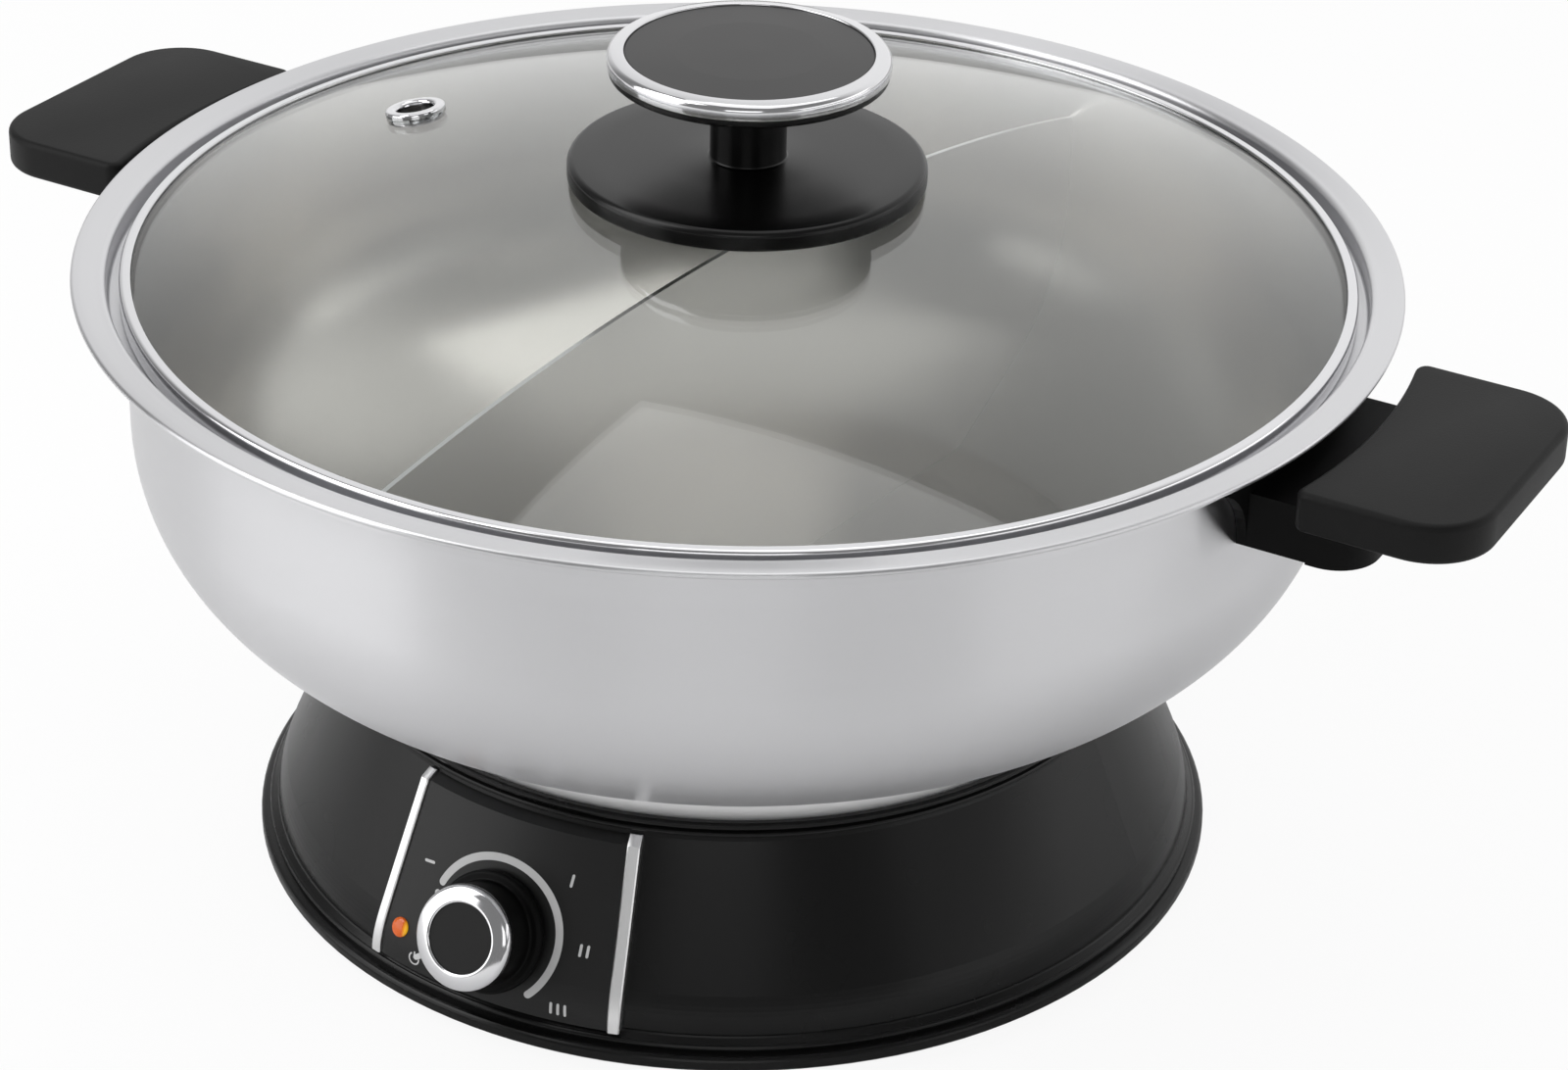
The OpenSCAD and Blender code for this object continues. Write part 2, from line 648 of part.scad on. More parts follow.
// Encapsulated disc that spreads the heat, bonded under the floor
module pot_base_disc() color(bright_steel) {
    rotate_extrude() polygon([
        [0, pot_foot_z], [base_disc_r - 1.2, pot_foot_z], [base_disc_r, pot_foot_z + 1.2],
        [base_disc_r, pot_floor_z - 0.6], [base_disc_r - 0.4, pot_floor_z], [0, pot_floor_z]]);
}

divider_half = concat(
    [[inner_floor_r - floor_gap, pot_floor_z + sheet_t + floor_gap]],
    arc(curve_c, curve_r - sheet_t - floor_gap, curve_start, 0, curve_steps));
divider_top_z = pot_foot_z + divider_mid_h;
arch_half = wall_r - sheet_t;
arch_r = (arch_half * arch_half + divider_arch * divider_arch) / (2 * divider_arch);

// Arched partition that splits the pot into two compartments
module pot_divider() color(steel) {
    rotate([90, 0, 90 - divider_turn]) translate([0, 0, -divider_t / 2]) linear_extrude(divider_t)
        polygon(concat(
            divider_half,
            ellipse([0, divider_top_z - arch_r], arch_r, arch_r,
                acos((arch_half - floor_gap) / arch_r), 180 - acos((arch_half - floor_gap) / arch_r), 24),
            reversed(mirrored(divider_half))));
}

// ---- Handles ----

grip_in_r = rim_r + grip_gap;
grip_top_z = rim_top_z;
grip_bottom_z = grip_top_z - grip_t;
guard_bottom_z = grip_bottom_z - guard_h;
screw_z = guard_bottom_z + guard_h / 2;
inner_corner_r = 3;
sleeve_r = 4.5;
sleeve_hole_r = 2.2;
handle_screw_r = 2.1;
handle_head_r = 4.6;
handle_head_h = 3;
counterbore_r = 5.2;
block_end_x = seam_x + block_len;
head_seat_x = block_end_x - 5.5;
seam_gap = 0.2;
saddle_gap = 0.1;

module both_sides() {
    children();
    rotate([0, 0, 180]) children();
}

// Welded sleeves on the wall, threaded inside
module handle_sleeves() color(steel) {
    both_sides() difference() {
        translate([wall_r - 2, 0, screw_z]) rotate([0, 90, 0]) cylinder(r = sleeve_r, h = 11.5);
        translate([0, 0, screw_z - 2 * sleeve_r]) cylinder(r = wall_r + seat_gap, h = 4 * sleeve_r, $fn = 360);
        translate([wall_r - 4, 0, screw_z]) rotate([0, 90, 0]) cylinder(r = sleeve_hole_r, h = 20);
    }
}

// Heat guard between wall and grip: a block and a saddle that widens towards the rim
module handle_guard() {
    wing_half = guard_half + 13;
    wing_top = seat_z - sheet_t - shoulder - 0.6;
    saddle_r = wall_r + saddle_gap;
    difference() {
        union() {
            translate([wall_r - 6, -guard_half, guard_bottom_z])
                cube([seam_x - seam_gap - wall_r + 6, 2 * guard_half, guard_h - 0.2]);
            intersection() {
                cylinder(r = saddle_r + 2.4, h = 2 * rim_top_z, $fn = 360);
                translate([wall_r - 14, 0, 0]) rotate([90, 0, 90]) linear_extrude(18) difference() {
                    polygon(concat(
                        [[-guard_half, guard_bottom_z], [guard_half, guard_bottom_z]],
                        ellipse([wing_half, guard_bottom_z + 1], wing_half - guard_half, wing_top - guard_bottom_z - 1,
                            180, 90, 8),
                        reversed(ellipse([-wing_half, guard_bottom_z + 1], wing_half - guard_half,
                            wing_top - guard_bottom_z - 1, 0, 90, 8))));
                }
            }
        }
        translate([0, 0, -cut]) cylinder(r = saddle_r, h = 2 * rim_top_z, $fn = 360);
        translate([wall_r - 10, 0, screw_z]) rotate([0, 90, 0]) cylinder(r = sleeve_r + slip_gap, h = 60);
    }
}

module handle_guard_right() color(black_plastic) handle_guard();
module handle_guard_left() color(black_plastic) rotate([0, 0, 180]) handle_guard();

// Outline of a grip, drawn in by inset: an inner arc beside the rim, straight sides, round corners
function grip_outline(inset) =
    let (
        small_c_angle = asin((grip_half_out - inner_corner_r) / (grip_in_r + inner_corner_r)),
        small_c = (grip_in_r + inner_corner_r) * [cos(small_c_angle), sin(small_c_angle)],
        small_r = inner_corner_r - inset,
        big_c = [grip_reach - grip_corner_r, grip_half_out - grip_corner_r],
        big_r = grip_corner_r - inset,
        front = concat(
            reversed(arc([small_c.x, -small_c.y], small_r, 270, 180 - small_c_angle, 4)),
            arc([big_c.x, -big_c.y], big_r, -90, 0, 8)),
        back = concat(
            arc(big_c, big_r, 0, 90, 8),
            arc(small_c, small_r, 90, 180 + small_c_angle, 4)),
        inner = [for (i = [1 : 7]) let (a = small_c_angle * (1 - i / 4)) (grip_in_r + inset) * [cos(a), sin(a)]])
    [for (p = concat(front, back, inner))
        [p.x, p.y * (grip_half_in + (grip_half_out - grip_half_in) * (p.x - grip_in_r) / (grip_reach - grip_in_r))
            / grip_half_out]];

grip_foot_round = 1.2;
grip_crown = 0.35;
grip_levels = concat(
    [for (a = [0 : 45 : 90]) [grip_foot_round * (1 - sin(a)), grip_bottom_z + grip_foot_round * (1 - cos(a))]],
    [for (a = [0 : 22.5 : 90]) [grip_round * (1 - cos(a)), grip_top_z - grip_crown - grip_round * (1 - sin(a))]]);

// Closed solid through the outlines at each level, crowned a little on top
module grip_plate() {
    rings = [for (level = grip_levels) [for (p = grip_outline(level[0])) [p.x, p.y, level[1]]]];
    count = len(rings[0]);
    last = len(rings) - 1;
    middle_x = (grip_in_r + grip_reach) / 2;
    points = concat([for (ring = rings) each ring],
        [[middle_x, 0, grip_bottom_z], [middle_x, 0, grip_top_z]]);
    bottom = len(points) - 2;
    top = len(points) - 1;
    sides = [for (level = [0 : last - 1]) for (i = [0 : count - 1])
        let (j = (i + 1) % count, a = level * count + i, b = level * count + j) each
        [[a, b + count, b], [a, a + count, b + count]]];
    polyhedron(points, concat(sides,
        [for (i = [0 : count - 1]) [bottom, i, (i + 1) % count]],
        [for (i = [0 : count - 1]) [top, last * count + (i + 1) % count, last * count + i]]));
}

block_corner_r = 11;

// Grip plate with the rounded block under it that holds the long screw
module handle_grip() {
    difference() {
        union() {
            grip_plate();
            translate([0, 0, guard_bottom_z]) linear_extrude(grip_bottom_z - guard_bottom_z + 1) union() {
                translate([seam_x, -guard_half]) square([block_len - block_corner_r, 2 * guard_half]);
                translate([seam_x, block_corner_r - guard_half])
                    square([block_len, 2 * (guard_half - block_corner_r)]);
                for (side = [-1, 1]) intersection() {
                    translate([block_end_x - block_corner_r, side * (guard_half - block_corner_r)])
                        circle(r = block_corner_r);
                    translate([seam_x, -guard_half]) square([block_len, 2 * guard_half]);
                }
            }
        }
        translate([seam_x - cut, 0, screw_z]) rotate([0, 90, 0]) cylinder(r = handle_screw_r + slip_gap, h = 40);
        translate([head_seat_x, 0, screw_z]) rotate([0, 90, 0]) cylinder(r = counterbore_r, h = 40);
    }
}

module handle_grip_right() color(satin_black) handle_grip();
module handle_grip_left() color(satin_black) rotate([0, 0, 180]) handle_grip();

// Long screws from under each grip into the sleeves
module handle_screws() color(steel) {
    both_sides() translate([0, 0, screw_z]) rotate([0, 90, 0]) {
        translate([0, 0, wall_r + 2]) cylinder(r = handle_screw_r, h = head_seat_x - wall_r - 2);
        difference() {
            translate([0, 0, head_seat_x + seat_gap]) cylinder(r = handle_head_r, h = handle_head_h);
            translate([0, 0, head_seat_x + 1.2]) cylinder(r = 2.3, h = 10, $fn = 6);
        }
        translate([0, 0, head_seat_x - cut]) cylinder(r = handle_screw_r, h = cut + 1);
    }
}

// ---- Lid ----

ring_bottom_z = seat_z;
ring_top_z = ring_bottom_z + ring_h;
ring_lip_r = lid_r - 2.7;
glass_r = lid_r - ring_t - 0.15;
glass_edge_z = ring_top_z - ring_t - 0.75;
dome_r = (glass_r * glass_r + dome_rise * dome_rise) / (2 * dome_rise);
dome_c = [0, glass_edge_z + dome_rise - dome_r];
glass_top_z = glass_edge_z + dome_rise;
glass_under_z = glass_top_z - glass_t;
function dome_z(r) = dome_c.y + sqrt(dome_r * dome_r - r * r);
dome_steps = 24;
dome_edge_angle = acos(glass_r / dome_r);
glass_foot_z = ring_bottom_z + ring_t + 0.1;
glass_foot_r = sqrt(pow(dome_r - glass_t, 2) - pow(glass_foot_z - dome_c.y, 2));
knob_hole_r = 3.4;
knob_screw_r = 2.5;
eyelet_tube_r = vent_hole_r + 0.9;

module at_vent() {
    lean = asin(vent_circle_r / dome_r);
    rotate([0, 0, vent_angle]) translate([dome_c.x, 0, dome_c.y]) rotate([0, lean, 0])
        translate([0, 0, dome_r]) children();
}

// Tempered glass dome with a hole for the knob's screw and one for the vent
module lid_glass() color([0.75, 0.82, 0.8, 0.35]) {
    difference() {
        rotate_extrude() polygon(concat(
            [[0, glass_top_z]],
            reversed(arc(dome_c, dome_r, dome_edge_angle, 89.8, dome_steps)),
            [[glass_r, glass_foot_z]],
            arc(dome_c, dome_r - glass_t, acos(glass_foot_r / (dome_r - glass_t)), 89.8, dome_steps),
            [[0, glass_under_z]]));
        translate([0, 0, glass_under_z - cut]) cylinder(r = knob_hole_r, h = glass_t + 2 * cut);
        at_vent() translate([0, 0, -glass_t - 2 * cut]) cylinder(r = eyelet_tube_r + slip_gap, h = glass_t + 4 * cut);
    }
}

// Steel channel folded round the edge of the glass
module lid_rim_ring() color(bright_steel) {
    rotate_extrude() polygon([
        [ring_lip_r, ring_bottom_z], [lid_r - 0.3, ring_bottom_z], [lid_r, ring_bottom_z + 0.3],
        [lid_r, ring_top_z - 0.5], [lid_r - 0.5, ring_top_z], [ring_lip_r, ring_top_z - 0.1],
        [ring_lip_r, ring_top_z - ring_t - 0.05], [lid_r - ring_t, ring_top_z - ring_t - 0.05],
        [lid_r - ring_t, ring_bottom_z + ring_t], [ring_lip_r, ring_bottom_z + ring_t]]);
}

eyelet_lift = 0.5;

// Riveted steel eyelet of the steam vent
module lid_vent_eyelet() color(bright_steel) {
    at_vent() rotate_extrude() polygon(concat(
        arc([vent_hole_r + 1.1, 0.55], 1.1, 180, 90, 5),
        arc([eyelet_r - 0.7, 0.9], 0.7, 80, 0, 4),
        [[eyelet_r, eyelet_lift - 0.35], [eyelet_r - 0.5, 0.1], [eyelet_tube_r, 0.1],
         [eyelet_tube_r, -glass_t - 0.1], [eyelet_r - 1, -glass_t - 0.1], [eyelet_r - 1, -glass_t - 0.8],
         [vent_hole_r + 0.4, -glass_t - 0.8], [vent_hole_r, -glass_t - 0.4]]));
}

knob_top_z = glass_top_z + knob_h;
saucer_top_z = glass_top_z + 3.4;
saucer_edge_z = dome_z(saucer_r) + 0.3;
gasket_t = 1;
head_z = knob_top_z - 7;         // underside of the head at the stem
head_edge_z = knob_top_z - 4.6;  // underside of the head at its edge
ring_seat_z = knob_top_z - 4.2;
inlay_z = knob_top_z - 2.2;

// Turned knob: dished saucer, stem and head in one moulding
module lid_knob_body() color("#1d1d1e") {
    difference() {
        rotate_extrude() polygon(concat(
            [[0, glass_top_z + gasket_t], [12, glass_top_z + gasket_t], [12, glass_top_z + gasket_t + 0.4],
             [saucer_r - 3, saucer_edge_z + 1.4], [saucer_r - 2.4, saucer_edge_z], [saucer_r - 0.6, saucer_edge_z]],
            arc([saucer_r - 0.8, saucer_edge_z + 0.8], 0.8, -60, 0, 3),
            arc([saucer_r - 1.6, saucer_top_z - 1.4], 1.6, 0, 80, 5),
            [[saucer_r - 2.6, saucer_top_z + 0.1], [stem_r + 6, saucer_top_z + 0.9]],
            arc([stem_r + 4.6, saucer_top_z + 5.6], 4.6, 265, 180, 7),
            arc([stem_r + 3, head_z - 3], 3, 180, 96, 6),
            [[head_r - 3, head_edge_z], [head_r - 1.2, head_edge_z + 0.1], [head_r - 0.9, ring_seat_z],
             [inlay_r - 0.1, ring_seat_z], [inlay_r - 0.1, inlay_z], [0, inlay_z]]));
        translate([0, 0, glass_top_z]) cylinder(r = knob_screw_r, h = 18);
    }
}

// Chrome bezel round the head
module lid_knob_ring() color(bright_steel) {
    rotate_extrude() polygon([
        [inlay_r, ring_seat_z + seat_gap], [head_r - 0.5, ring_seat_z + seat_gap],
        [head_r, ring_seat_z + 0.5], [head_r, ring_seat_z + 2.1], [head_r - 0.3, ring_seat_z + 2.6],
        [inlay_r + 0.9, knob_top_z - 0.1], [inlay_r + 0.4, knob_top_z], [inlay_r, knob_top_z - 0.3]]);
}

// Black disc set into the head, a little crowned
module lid_knob_inlay() color(satin_black) {
    rotate_extrude() polygon([
        [0, inlay_z + seat_gap], [inlay_r - seat_gap, inlay_z + seat_gap], [inlay_r - seat_gap, knob_top_z - 0.7],
        [inlay_r - 0.4, knob_top_z - 0.45], [inlay_r * 0.6, knob_top_z - 0.15], [0, knob_top_z]]);
}

washer_t = 1;
lower_gasket_r = 10;
lower_gasket_z = dome_c.y + sqrt(pow(dome_r - glass_t, 2) - pow(lower_gasket_r, 2)) - gasket_t - seat_gap;
washer_z = lower_gasket_z - washer_t;

module lid_knob_screw() color(steel) {
    translate([0, 0, washer_z]) cylinder(r = knob_screw_r - seat_gap, h = glass_top_z - washer_z + 15);
    difference() {
        translate([0, 0, washer_z]) mirror([0, 0, 1]) rotate_extrude() polygon(concat(
            [[0, 0], [4.8, 0], [4.8, 1]], arc([2.8, 1], 2, 0, 80, 4), [[0, 3]]));
        translate([0, 0, washer_z - 4]) for (turn = [0, 90]) rotate([0, 0, turn])
            translate([-2.6, -0.5, 0]) cube([5.2, 1, 2.6]);
    }
}

module lid_knob_washer() color(steel) {
    translate([0, 0, washer_z + seat_gap]) difference() {
        cylinder(r = 9, h = washer_t - seat_gap);
        translate([0, 0, -cut]) cylinder(r = knob_screw_r + slip_gap, h = washer_t + 2 * cut);
    }
}

// Silicone discs over and under the glass
module lid_knob_gaskets() color(rubber_black) {
    for (level = [[glass_top_z, 11.5], [lower_gasket_z, lower_gasket_r]]) translate([0, 0, level[0]]) difference() {
        cylinder(r = level[1], h = gasket_t);
        translate([0, 0, -cut]) cylinder(r = knob_screw_r + slip_gap, h = gasket_t + 2 * cut);
    }
}

base_housing();
control_panel();
trim_strip_left();
trim_strip_right();
bottom_plate();
feet();
base_screws();
plate_carrier();
heating_plate();
heating_element();
tie_rods();
tie_nuts();
thermal_cutout();
thermostat_body();
thermostat_screws();
terminal_block();
cord_gland();
indicator_lens();
indicator_lamp();
thermostat_shaft();
dial_body();
dial_ring();
dial_face();
dial_pointer();
pot_bowl();
pot_base_disc();
pot_divider();
handle_sleeves();
handle_guard_right();
handle_guard_left();
handle_grip_right();
handle_grip_left();
handle_screws();
lid_glass();
lid_rim_ring();
lid_vent_eyelet();
lid_knob_body();
lid_knob_ring();
lid_knob_inlay();
lid_knob_screw();
lid_knob_washer();
lid_knob_gaskets();
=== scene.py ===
# %% [markdown]
# # An electric hot pot, dressed around its CAD frame
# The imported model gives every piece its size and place. This script gives each one its finish, turns the
# round pieces again with finer curves, prints the dial's marks on the panel, and sets up a plain studio.
# Everything is in metres in the CAD frame: +Z is up, the dial faces -Y and the handles lie along X.

# %% Load the frame
import json
import math

import bmesh
import bpy
from mathutils import Matrix, Vector


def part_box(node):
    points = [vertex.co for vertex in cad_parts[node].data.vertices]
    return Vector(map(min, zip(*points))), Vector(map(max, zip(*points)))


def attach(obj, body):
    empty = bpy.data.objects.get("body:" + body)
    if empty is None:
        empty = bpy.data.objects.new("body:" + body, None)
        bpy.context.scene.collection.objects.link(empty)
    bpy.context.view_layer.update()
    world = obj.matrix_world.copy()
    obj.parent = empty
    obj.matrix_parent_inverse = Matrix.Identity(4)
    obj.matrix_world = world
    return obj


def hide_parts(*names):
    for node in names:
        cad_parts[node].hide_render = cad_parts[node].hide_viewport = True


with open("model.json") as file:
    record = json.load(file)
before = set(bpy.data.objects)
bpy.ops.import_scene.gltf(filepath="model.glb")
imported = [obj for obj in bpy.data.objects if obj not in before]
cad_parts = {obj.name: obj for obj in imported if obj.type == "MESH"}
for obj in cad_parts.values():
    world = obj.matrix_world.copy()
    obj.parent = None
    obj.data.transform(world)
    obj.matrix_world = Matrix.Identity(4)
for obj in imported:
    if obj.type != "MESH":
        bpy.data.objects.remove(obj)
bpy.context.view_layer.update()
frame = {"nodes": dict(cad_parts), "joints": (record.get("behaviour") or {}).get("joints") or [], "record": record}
MM = 0.001

# %% [markdown]
# ## The camera
# The photograph was taken from the right of the dial, looking down about 27 degrees through a long lens, and
# its frame was cut from a larger one, so the lens is shifted a little. The camera also leans by 3 degrees.

# %% Camera
PHOTO_WIDTH = 1600
PHOTO_HEIGHT = 1092
SENSOR = 36.0
LENS_PIXELS = 4074.0              # focal length in pixels of the photograph
OPTICAL_CENTRE = (1051.9, 360.6)  # pixel that the lens looks at
HEADING = math.radians(25.35)
CAMERA_DISTANCE = 879.9           # from the pot's axis, level with the floor
CAMERA_BEARING = math.radians(-60.064)
CAMERA_HEIGHT = 572.7
PITCH = 0.463                     # radians below level
LEAN = 0.054                      # radians

camera = bpy.data.objects.new("camera", bpy.data.cameras.new("camera"))
bpy.context.collection.objects.link(camera)
bpy.context.scene.camera = camera
camera.data.sensor_width = SENSOR
camera.data.lens = LENS_PIXELS / PHOTO_WIDTH * SENSOR
camera.data.shift_x = (PHOTO_WIDTH / 2 - OPTICAL_CENTRE[0]) / PHOTO_WIDTH
camera.data.shift_y = (OPTICAL_CENTRE[1] - PHOTO_HEIGHT / 2) / PHOTO_WIDTH
camera.data.clip_start = 0.05
camera.data.clip_end = 20
camera_place = Vector((
    CAMERA_DISTANCE * math.cos(CAMERA_BEARING), CAMERA_DISTANCE * math.sin(CAMERA_BEARING), CAMERA_HEIGHT))
camera.matrix_world = (
    Matrix.Translation(camera_place * MM)
    @ Matrix.Rotation(HEADING, 4, "Z")
    @ Matrix.Rotation(math.pi / 2 - PITCH, 4, "X")
    @ Matrix.Rotation(LEAN, 4, "Z"))
print("camera", [round(v, 3) for v in camera_place], "lens", round(camera.data.lens, 1))

# %% [markdown]
# ## Helpers for materials
# Colours are written as sRGB hex values, as a paint chart gives them, and one function turns them to the
# linear light that Blender works in. One more function adds a node, sets its values and links its inputs.

# %% Colour and node helpers
def colour(hex_code):
    """An sRGB hex colour as linear red, green, blue and alpha."""
    channels = [int(hex_code[i:i + 2], 16) / 255 for i in (1, 3, 5)]
    return [c / 12.92 if c <= 0.04045 else ((c + 0.055) / 1.055) ** 2.4 for c in channels] + [1.0]


def add(tree, kind, inputs=None, **settings):
    """Adds a node. Inputs that are sockets are linked, and the others are set."""
    node = tree.nodes.new(kind)
    for name, value in settings.items():
        setattr(node, name, value)
    for key, value in (inputs or {}).items():
        if isinstance(value, bpy.types.NodeSocket):
            tree.links.new(value, node.inputs[key])
        else:
            node.inputs[key].default_value = value
    return node


def new_material(name, base, roughness, metallic=0.0, **shader_values):
    """A material with one Principled shader. Returns the material, its tree and the shader."""
    material = bpy.data.materials.new(name)
    material.use_nodes = True
    tree = material.node_tree
    shader = tree.nodes["Principled BSDF"]
    shader.inputs["Base Color"].default_value = colour(base)
    shader.inputs["Roughness"].default_value = roughness
    shader.inputs["Metallic"].default_value = metallic
    for key, value in shader_values.items():
        shader.inputs[key.replace("_", " ")].default_value = value
    return material, tree, shader


def place_of(tree):
    """Object coordinates, which are the row's own metres."""
    return add(tree, "ShaderNodeTexCoord").outputs["Object"]


def math_node(tree, operation, *values):
    """One calculation, whose inputs are numbers or sockets."""
    return add(tree, "ShaderNodeMath", dict(enumerate(values)), operation=operation).outputs[0]


def ramp(tree, value, low, high):
    """Maps a pattern's 0 to 1 onto a range."""
    return add(tree, "ShaderNodeMapRange", {0: value, 3: low, 4: high}).outputs[0]


print("helpers ready, mid grey is", [round(v, 3) for v in colour("#808080")[:3]])

# %% [markdown]
# ## Moulded plastics
# Black ABS leaves its mould with the fine spark-eroded grain of the steel. That grain spreads the highlight
# without dulling the colour. It is drawn as a small bump at 0.4 mm, as coarse as it needs to show, with a
# slow change of gloss over 30 mm such as handling leaves.

# %% A moulded plastic
WEAR_SIZE = 30 * MM
WEAR_GLOSS = 0.03         # how far handling moves the roughness up and down
GRAIN_DEPTH = 0.05 * MM


def moulded(name, base, roughness, grain_mm, grain_height, **values):
    """A moulded plastic: an even colour, a fine grain and a slow change of gloss."""
    material, tree, shader = new_material(name, base, roughness, **values)
    place = place_of(tree)
    wear = add(tree, "ShaderNodeTexNoise", {"Vector": place, "Scale": 1 / WEAR_SIZE, "Detail": 3.0})
    tree.links.new(ramp(tree, wear.outputs["Fac"], roughness - WEAR_GLOSS, roughness + WEAR_GLOSS),
                   shader.inputs["Roughness"])
    grain = add(tree, "ShaderNodeTexNoise", {"Vector": place, "Scale": 1 / (grain_mm * MM), "Detail": 2.0})
    bump = add(tree, "ShaderNodeBump", {"Height": grain.outputs["Fac"], "Strength": grain_height,
                                        "Distance": GRAIN_DEPTH})
    tree.links.new(bump.outputs[0], shader.inputs["Normal"])
    return material


print("plastics take a name, colour, roughness, grain size in mm and grain height")

# %% [markdown]
# ### The plastics of this pot
# Nine blacks, which differ mostly in gloss, and a pale and a brown for the inside. The housing is the
# glossiest of the ABS pieces. The grips and heat guards are dull, as phenolic is where hands wear its skin.

# %% Plastics
# The housing's deep black carries wide, soft highlights.
housing_black = moulded("moulded_abs_satin_black", "#0b0b0b", 0.27, 0.4, 0.18, Specular_IOR_Level=0.24)
# The panel is a shade greyer and duller than the housing round it.
panel_black = moulded("moulded_abs_fine_black", "#191919", 0.36, 0.4, 0.25, Specular_IOR_Level=0.3)
# The grips look dry, with an even dark grey top.
grip_black = moulded("phenolic_grip_matt_black", "#111111", 0.5, 0.5, 0.5, Specular_IOR_Level=0.16)
# The guards stay darker than the grips that they carry.
guard_black = moulded("phenolic_guard_matt_black", "#090909", 0.5, 0.5, 0.4, Specular_IOR_Level=0.09)
# The dial's skirt and side are almost without light, so that its bezel stands out.
dial_black = moulded("moulded_abs_dial_black", "#060606", 0.45, 0.4, 0.25, Specular_IOR_Level=0.09)
# The dial's face is a flat dark grey disc.
dial_face_black = moulded("moulded_abs_dial_face", "#151515", 0.45, 0.4, 0.2, Specular_IOR_Level=0.25)
# The knob is smooth and black, with a grey veil where it mirrors the room.
knob_black = moulded("phenolic_gloss_black", "#040404", 0.25, 0.5, 0.03, Specular_IOR_Level=0.3)
# The inlay on top of the knob mirrors more of the room, so it looks mid grey.
inlay_black = moulded("phenolic_inlay_black", "#151314", 0.34, 0.4, 0.2, Specular_IOR_Level=0.38)
# Feet, gaskets and sleeves are dull and rubbery.
silicone = moulded("silicone_black", "#111111", 0.6, 0.5, 0.2)
# The thermostat's shell and the terminal block are pale, and the cutout's base is brown.
phenolic = moulded("phenolic_pale", "#cfc8b4", 0.5, 0.5, 0.2)
brown_phenolic = moulded("phenolic_brown", "#5f4127", 0.5, 0.5, 0.2)
# Ink for the marks on the panel is light grey and flat.
mark_white = new_material("pad_print_light_grey", "#c9c9c9", 0.5)[0]
print("plastics made")

# %% [markdown]
# ## Stainless steel
# The pot is spun on its axis against an abrasive belt, so its scratches run round it. They are a few
# hundredths of a millimetre apart. Here they are drawn 0.5 mm apart, as coarse as they need to show. Round
# scratches stretch every reflection up and down, which the shader's anisotropy does.

# %% Brushed steel
GRAIN_ROUND = 4.0         # how fast the pattern changes along a scratch
SCRATCH_DEPTH = 0.02 * MM


def brushed(name, base, roughness, anisotropic, scratch_mm, scratch_height, spread):
    """Steel with scratches that run round the pot's axis."""
    material, tree, shader = new_material(
        name, base, roughness, 1.0, Anisotropic=anisotropic, Anisotropic_Rotation=0.25)
    parts = add(tree, "ShaderNodeSeparateXYZ", {0: place_of(tree)})
    flat = add(tree, "ShaderNodeCombineXYZ", {0: parts.outputs[0], 1: parts.outputs[1]}).outputs[0]
    radius = add(tree, "ShaderNodeVectorMath", {0: flat}, operation="LENGTH").outputs["Value"]
    around = add(tree, "ShaderNodeSeparateXYZ", {
        0: add(tree, "ShaderNodeVectorMath", {0: flat}, operation="NORMALIZE").outputs["Vector"]})
    across = math_node(tree, "ADD", parts.outputs[2], radius)
    thread = add(tree, "ShaderNodeCombineXYZ", {
        0: math_node(tree, "MULTIPLY", around.outputs[0], GRAIN_ROUND),
        1: math_node(tree, "MULTIPLY", around.outputs[1], GRAIN_ROUND),
        2: math_node(tree, "MULTIPLY", across, 1 / (scratch_mm * MM))}).outputs[0]
    scratches = add(tree, "ShaderNodeTexNoise", {
        "Vector": thread, "Scale": 1.0, "Detail": 4.0, "Roughness": 0.7})
    bump = add(tree, "ShaderNodeBump", {
        "Height": scratches.outputs["Fac"], "Strength": scratch_height, "Distance": SCRATCH_DEPTH})
    tree.links.new(bump.outputs[0], shader.inputs["Normal"])
    tree.links.new(ramp(tree, scratches.outputs["Fac"], roughness - spread, roughness + spread),
                   shader.inputs["Roughness"])
    tangent = add(tree, "ShaderNodeTangent", direction_type="RADIAL", axis="Z")
    tree.links.new(tangent.outputs[0], shader.inputs["Tangent"])
    return material


print("brushed steel turns its highlights with the axis")

# %% [markdown]
# ### The metals of this pot
# The outside of the bowl is belt brushed and the rim finer, while the inside, the strips and the bezels are
# polished to different degrees. Most of what tells them apart is how sharply each mirrors the soft boxes.

# %% Metals
# The bowl's outside shows tall soft bands of light instead of a mirror image.
bowl_steel = brushed("stainless_belt_brushed", "#d3d3d5", 0.3, 0.93, 0.5, 0.3, 0.05)
# The rim is finer, a little warm, and bright at the sides.
rim_steel = brushed("stainless_rim_fine", "#cdc9c4", 0.24, 0.7, 0.5, 0.05, 0.02)
# The inside is satin, in a darker steel than the outside: painted shade for the dimmer light that comes through
# the glass.
inside_steel = new_material("stainless_satin_inside", "#c4c4c5", 0.34, 1.0)[0]
# The divider is a little smoother than the bowl that it stands in.
divider_steel = new_material("stainless_satin_sheet", "#c6c6c6", 0.28, 1.0)[0]
# The disc under the bowl is pale aluminium, the pale line that parts the bowl from the base. Its half-metallic
# finish is a painted sheen that stands in for the bright reflection of its polished edge.
disc_pale_painted_sheen = new_material("aluminium_disc_painted_sheen", "#f2f2f2", 0.5, 0.3)[0]
# Bezels, eyelet and the lid's channel are chromed, with sharp reflections.
chrome = new_material("chromed_polished", "#dcdcde", 0.1, 1.0)[0]
# The trim strips are bright with a soft sheen along them.
strip_steel = new_material("stainless_bright_strip", "#f0f0f0", 0.33, 1.0)[0]
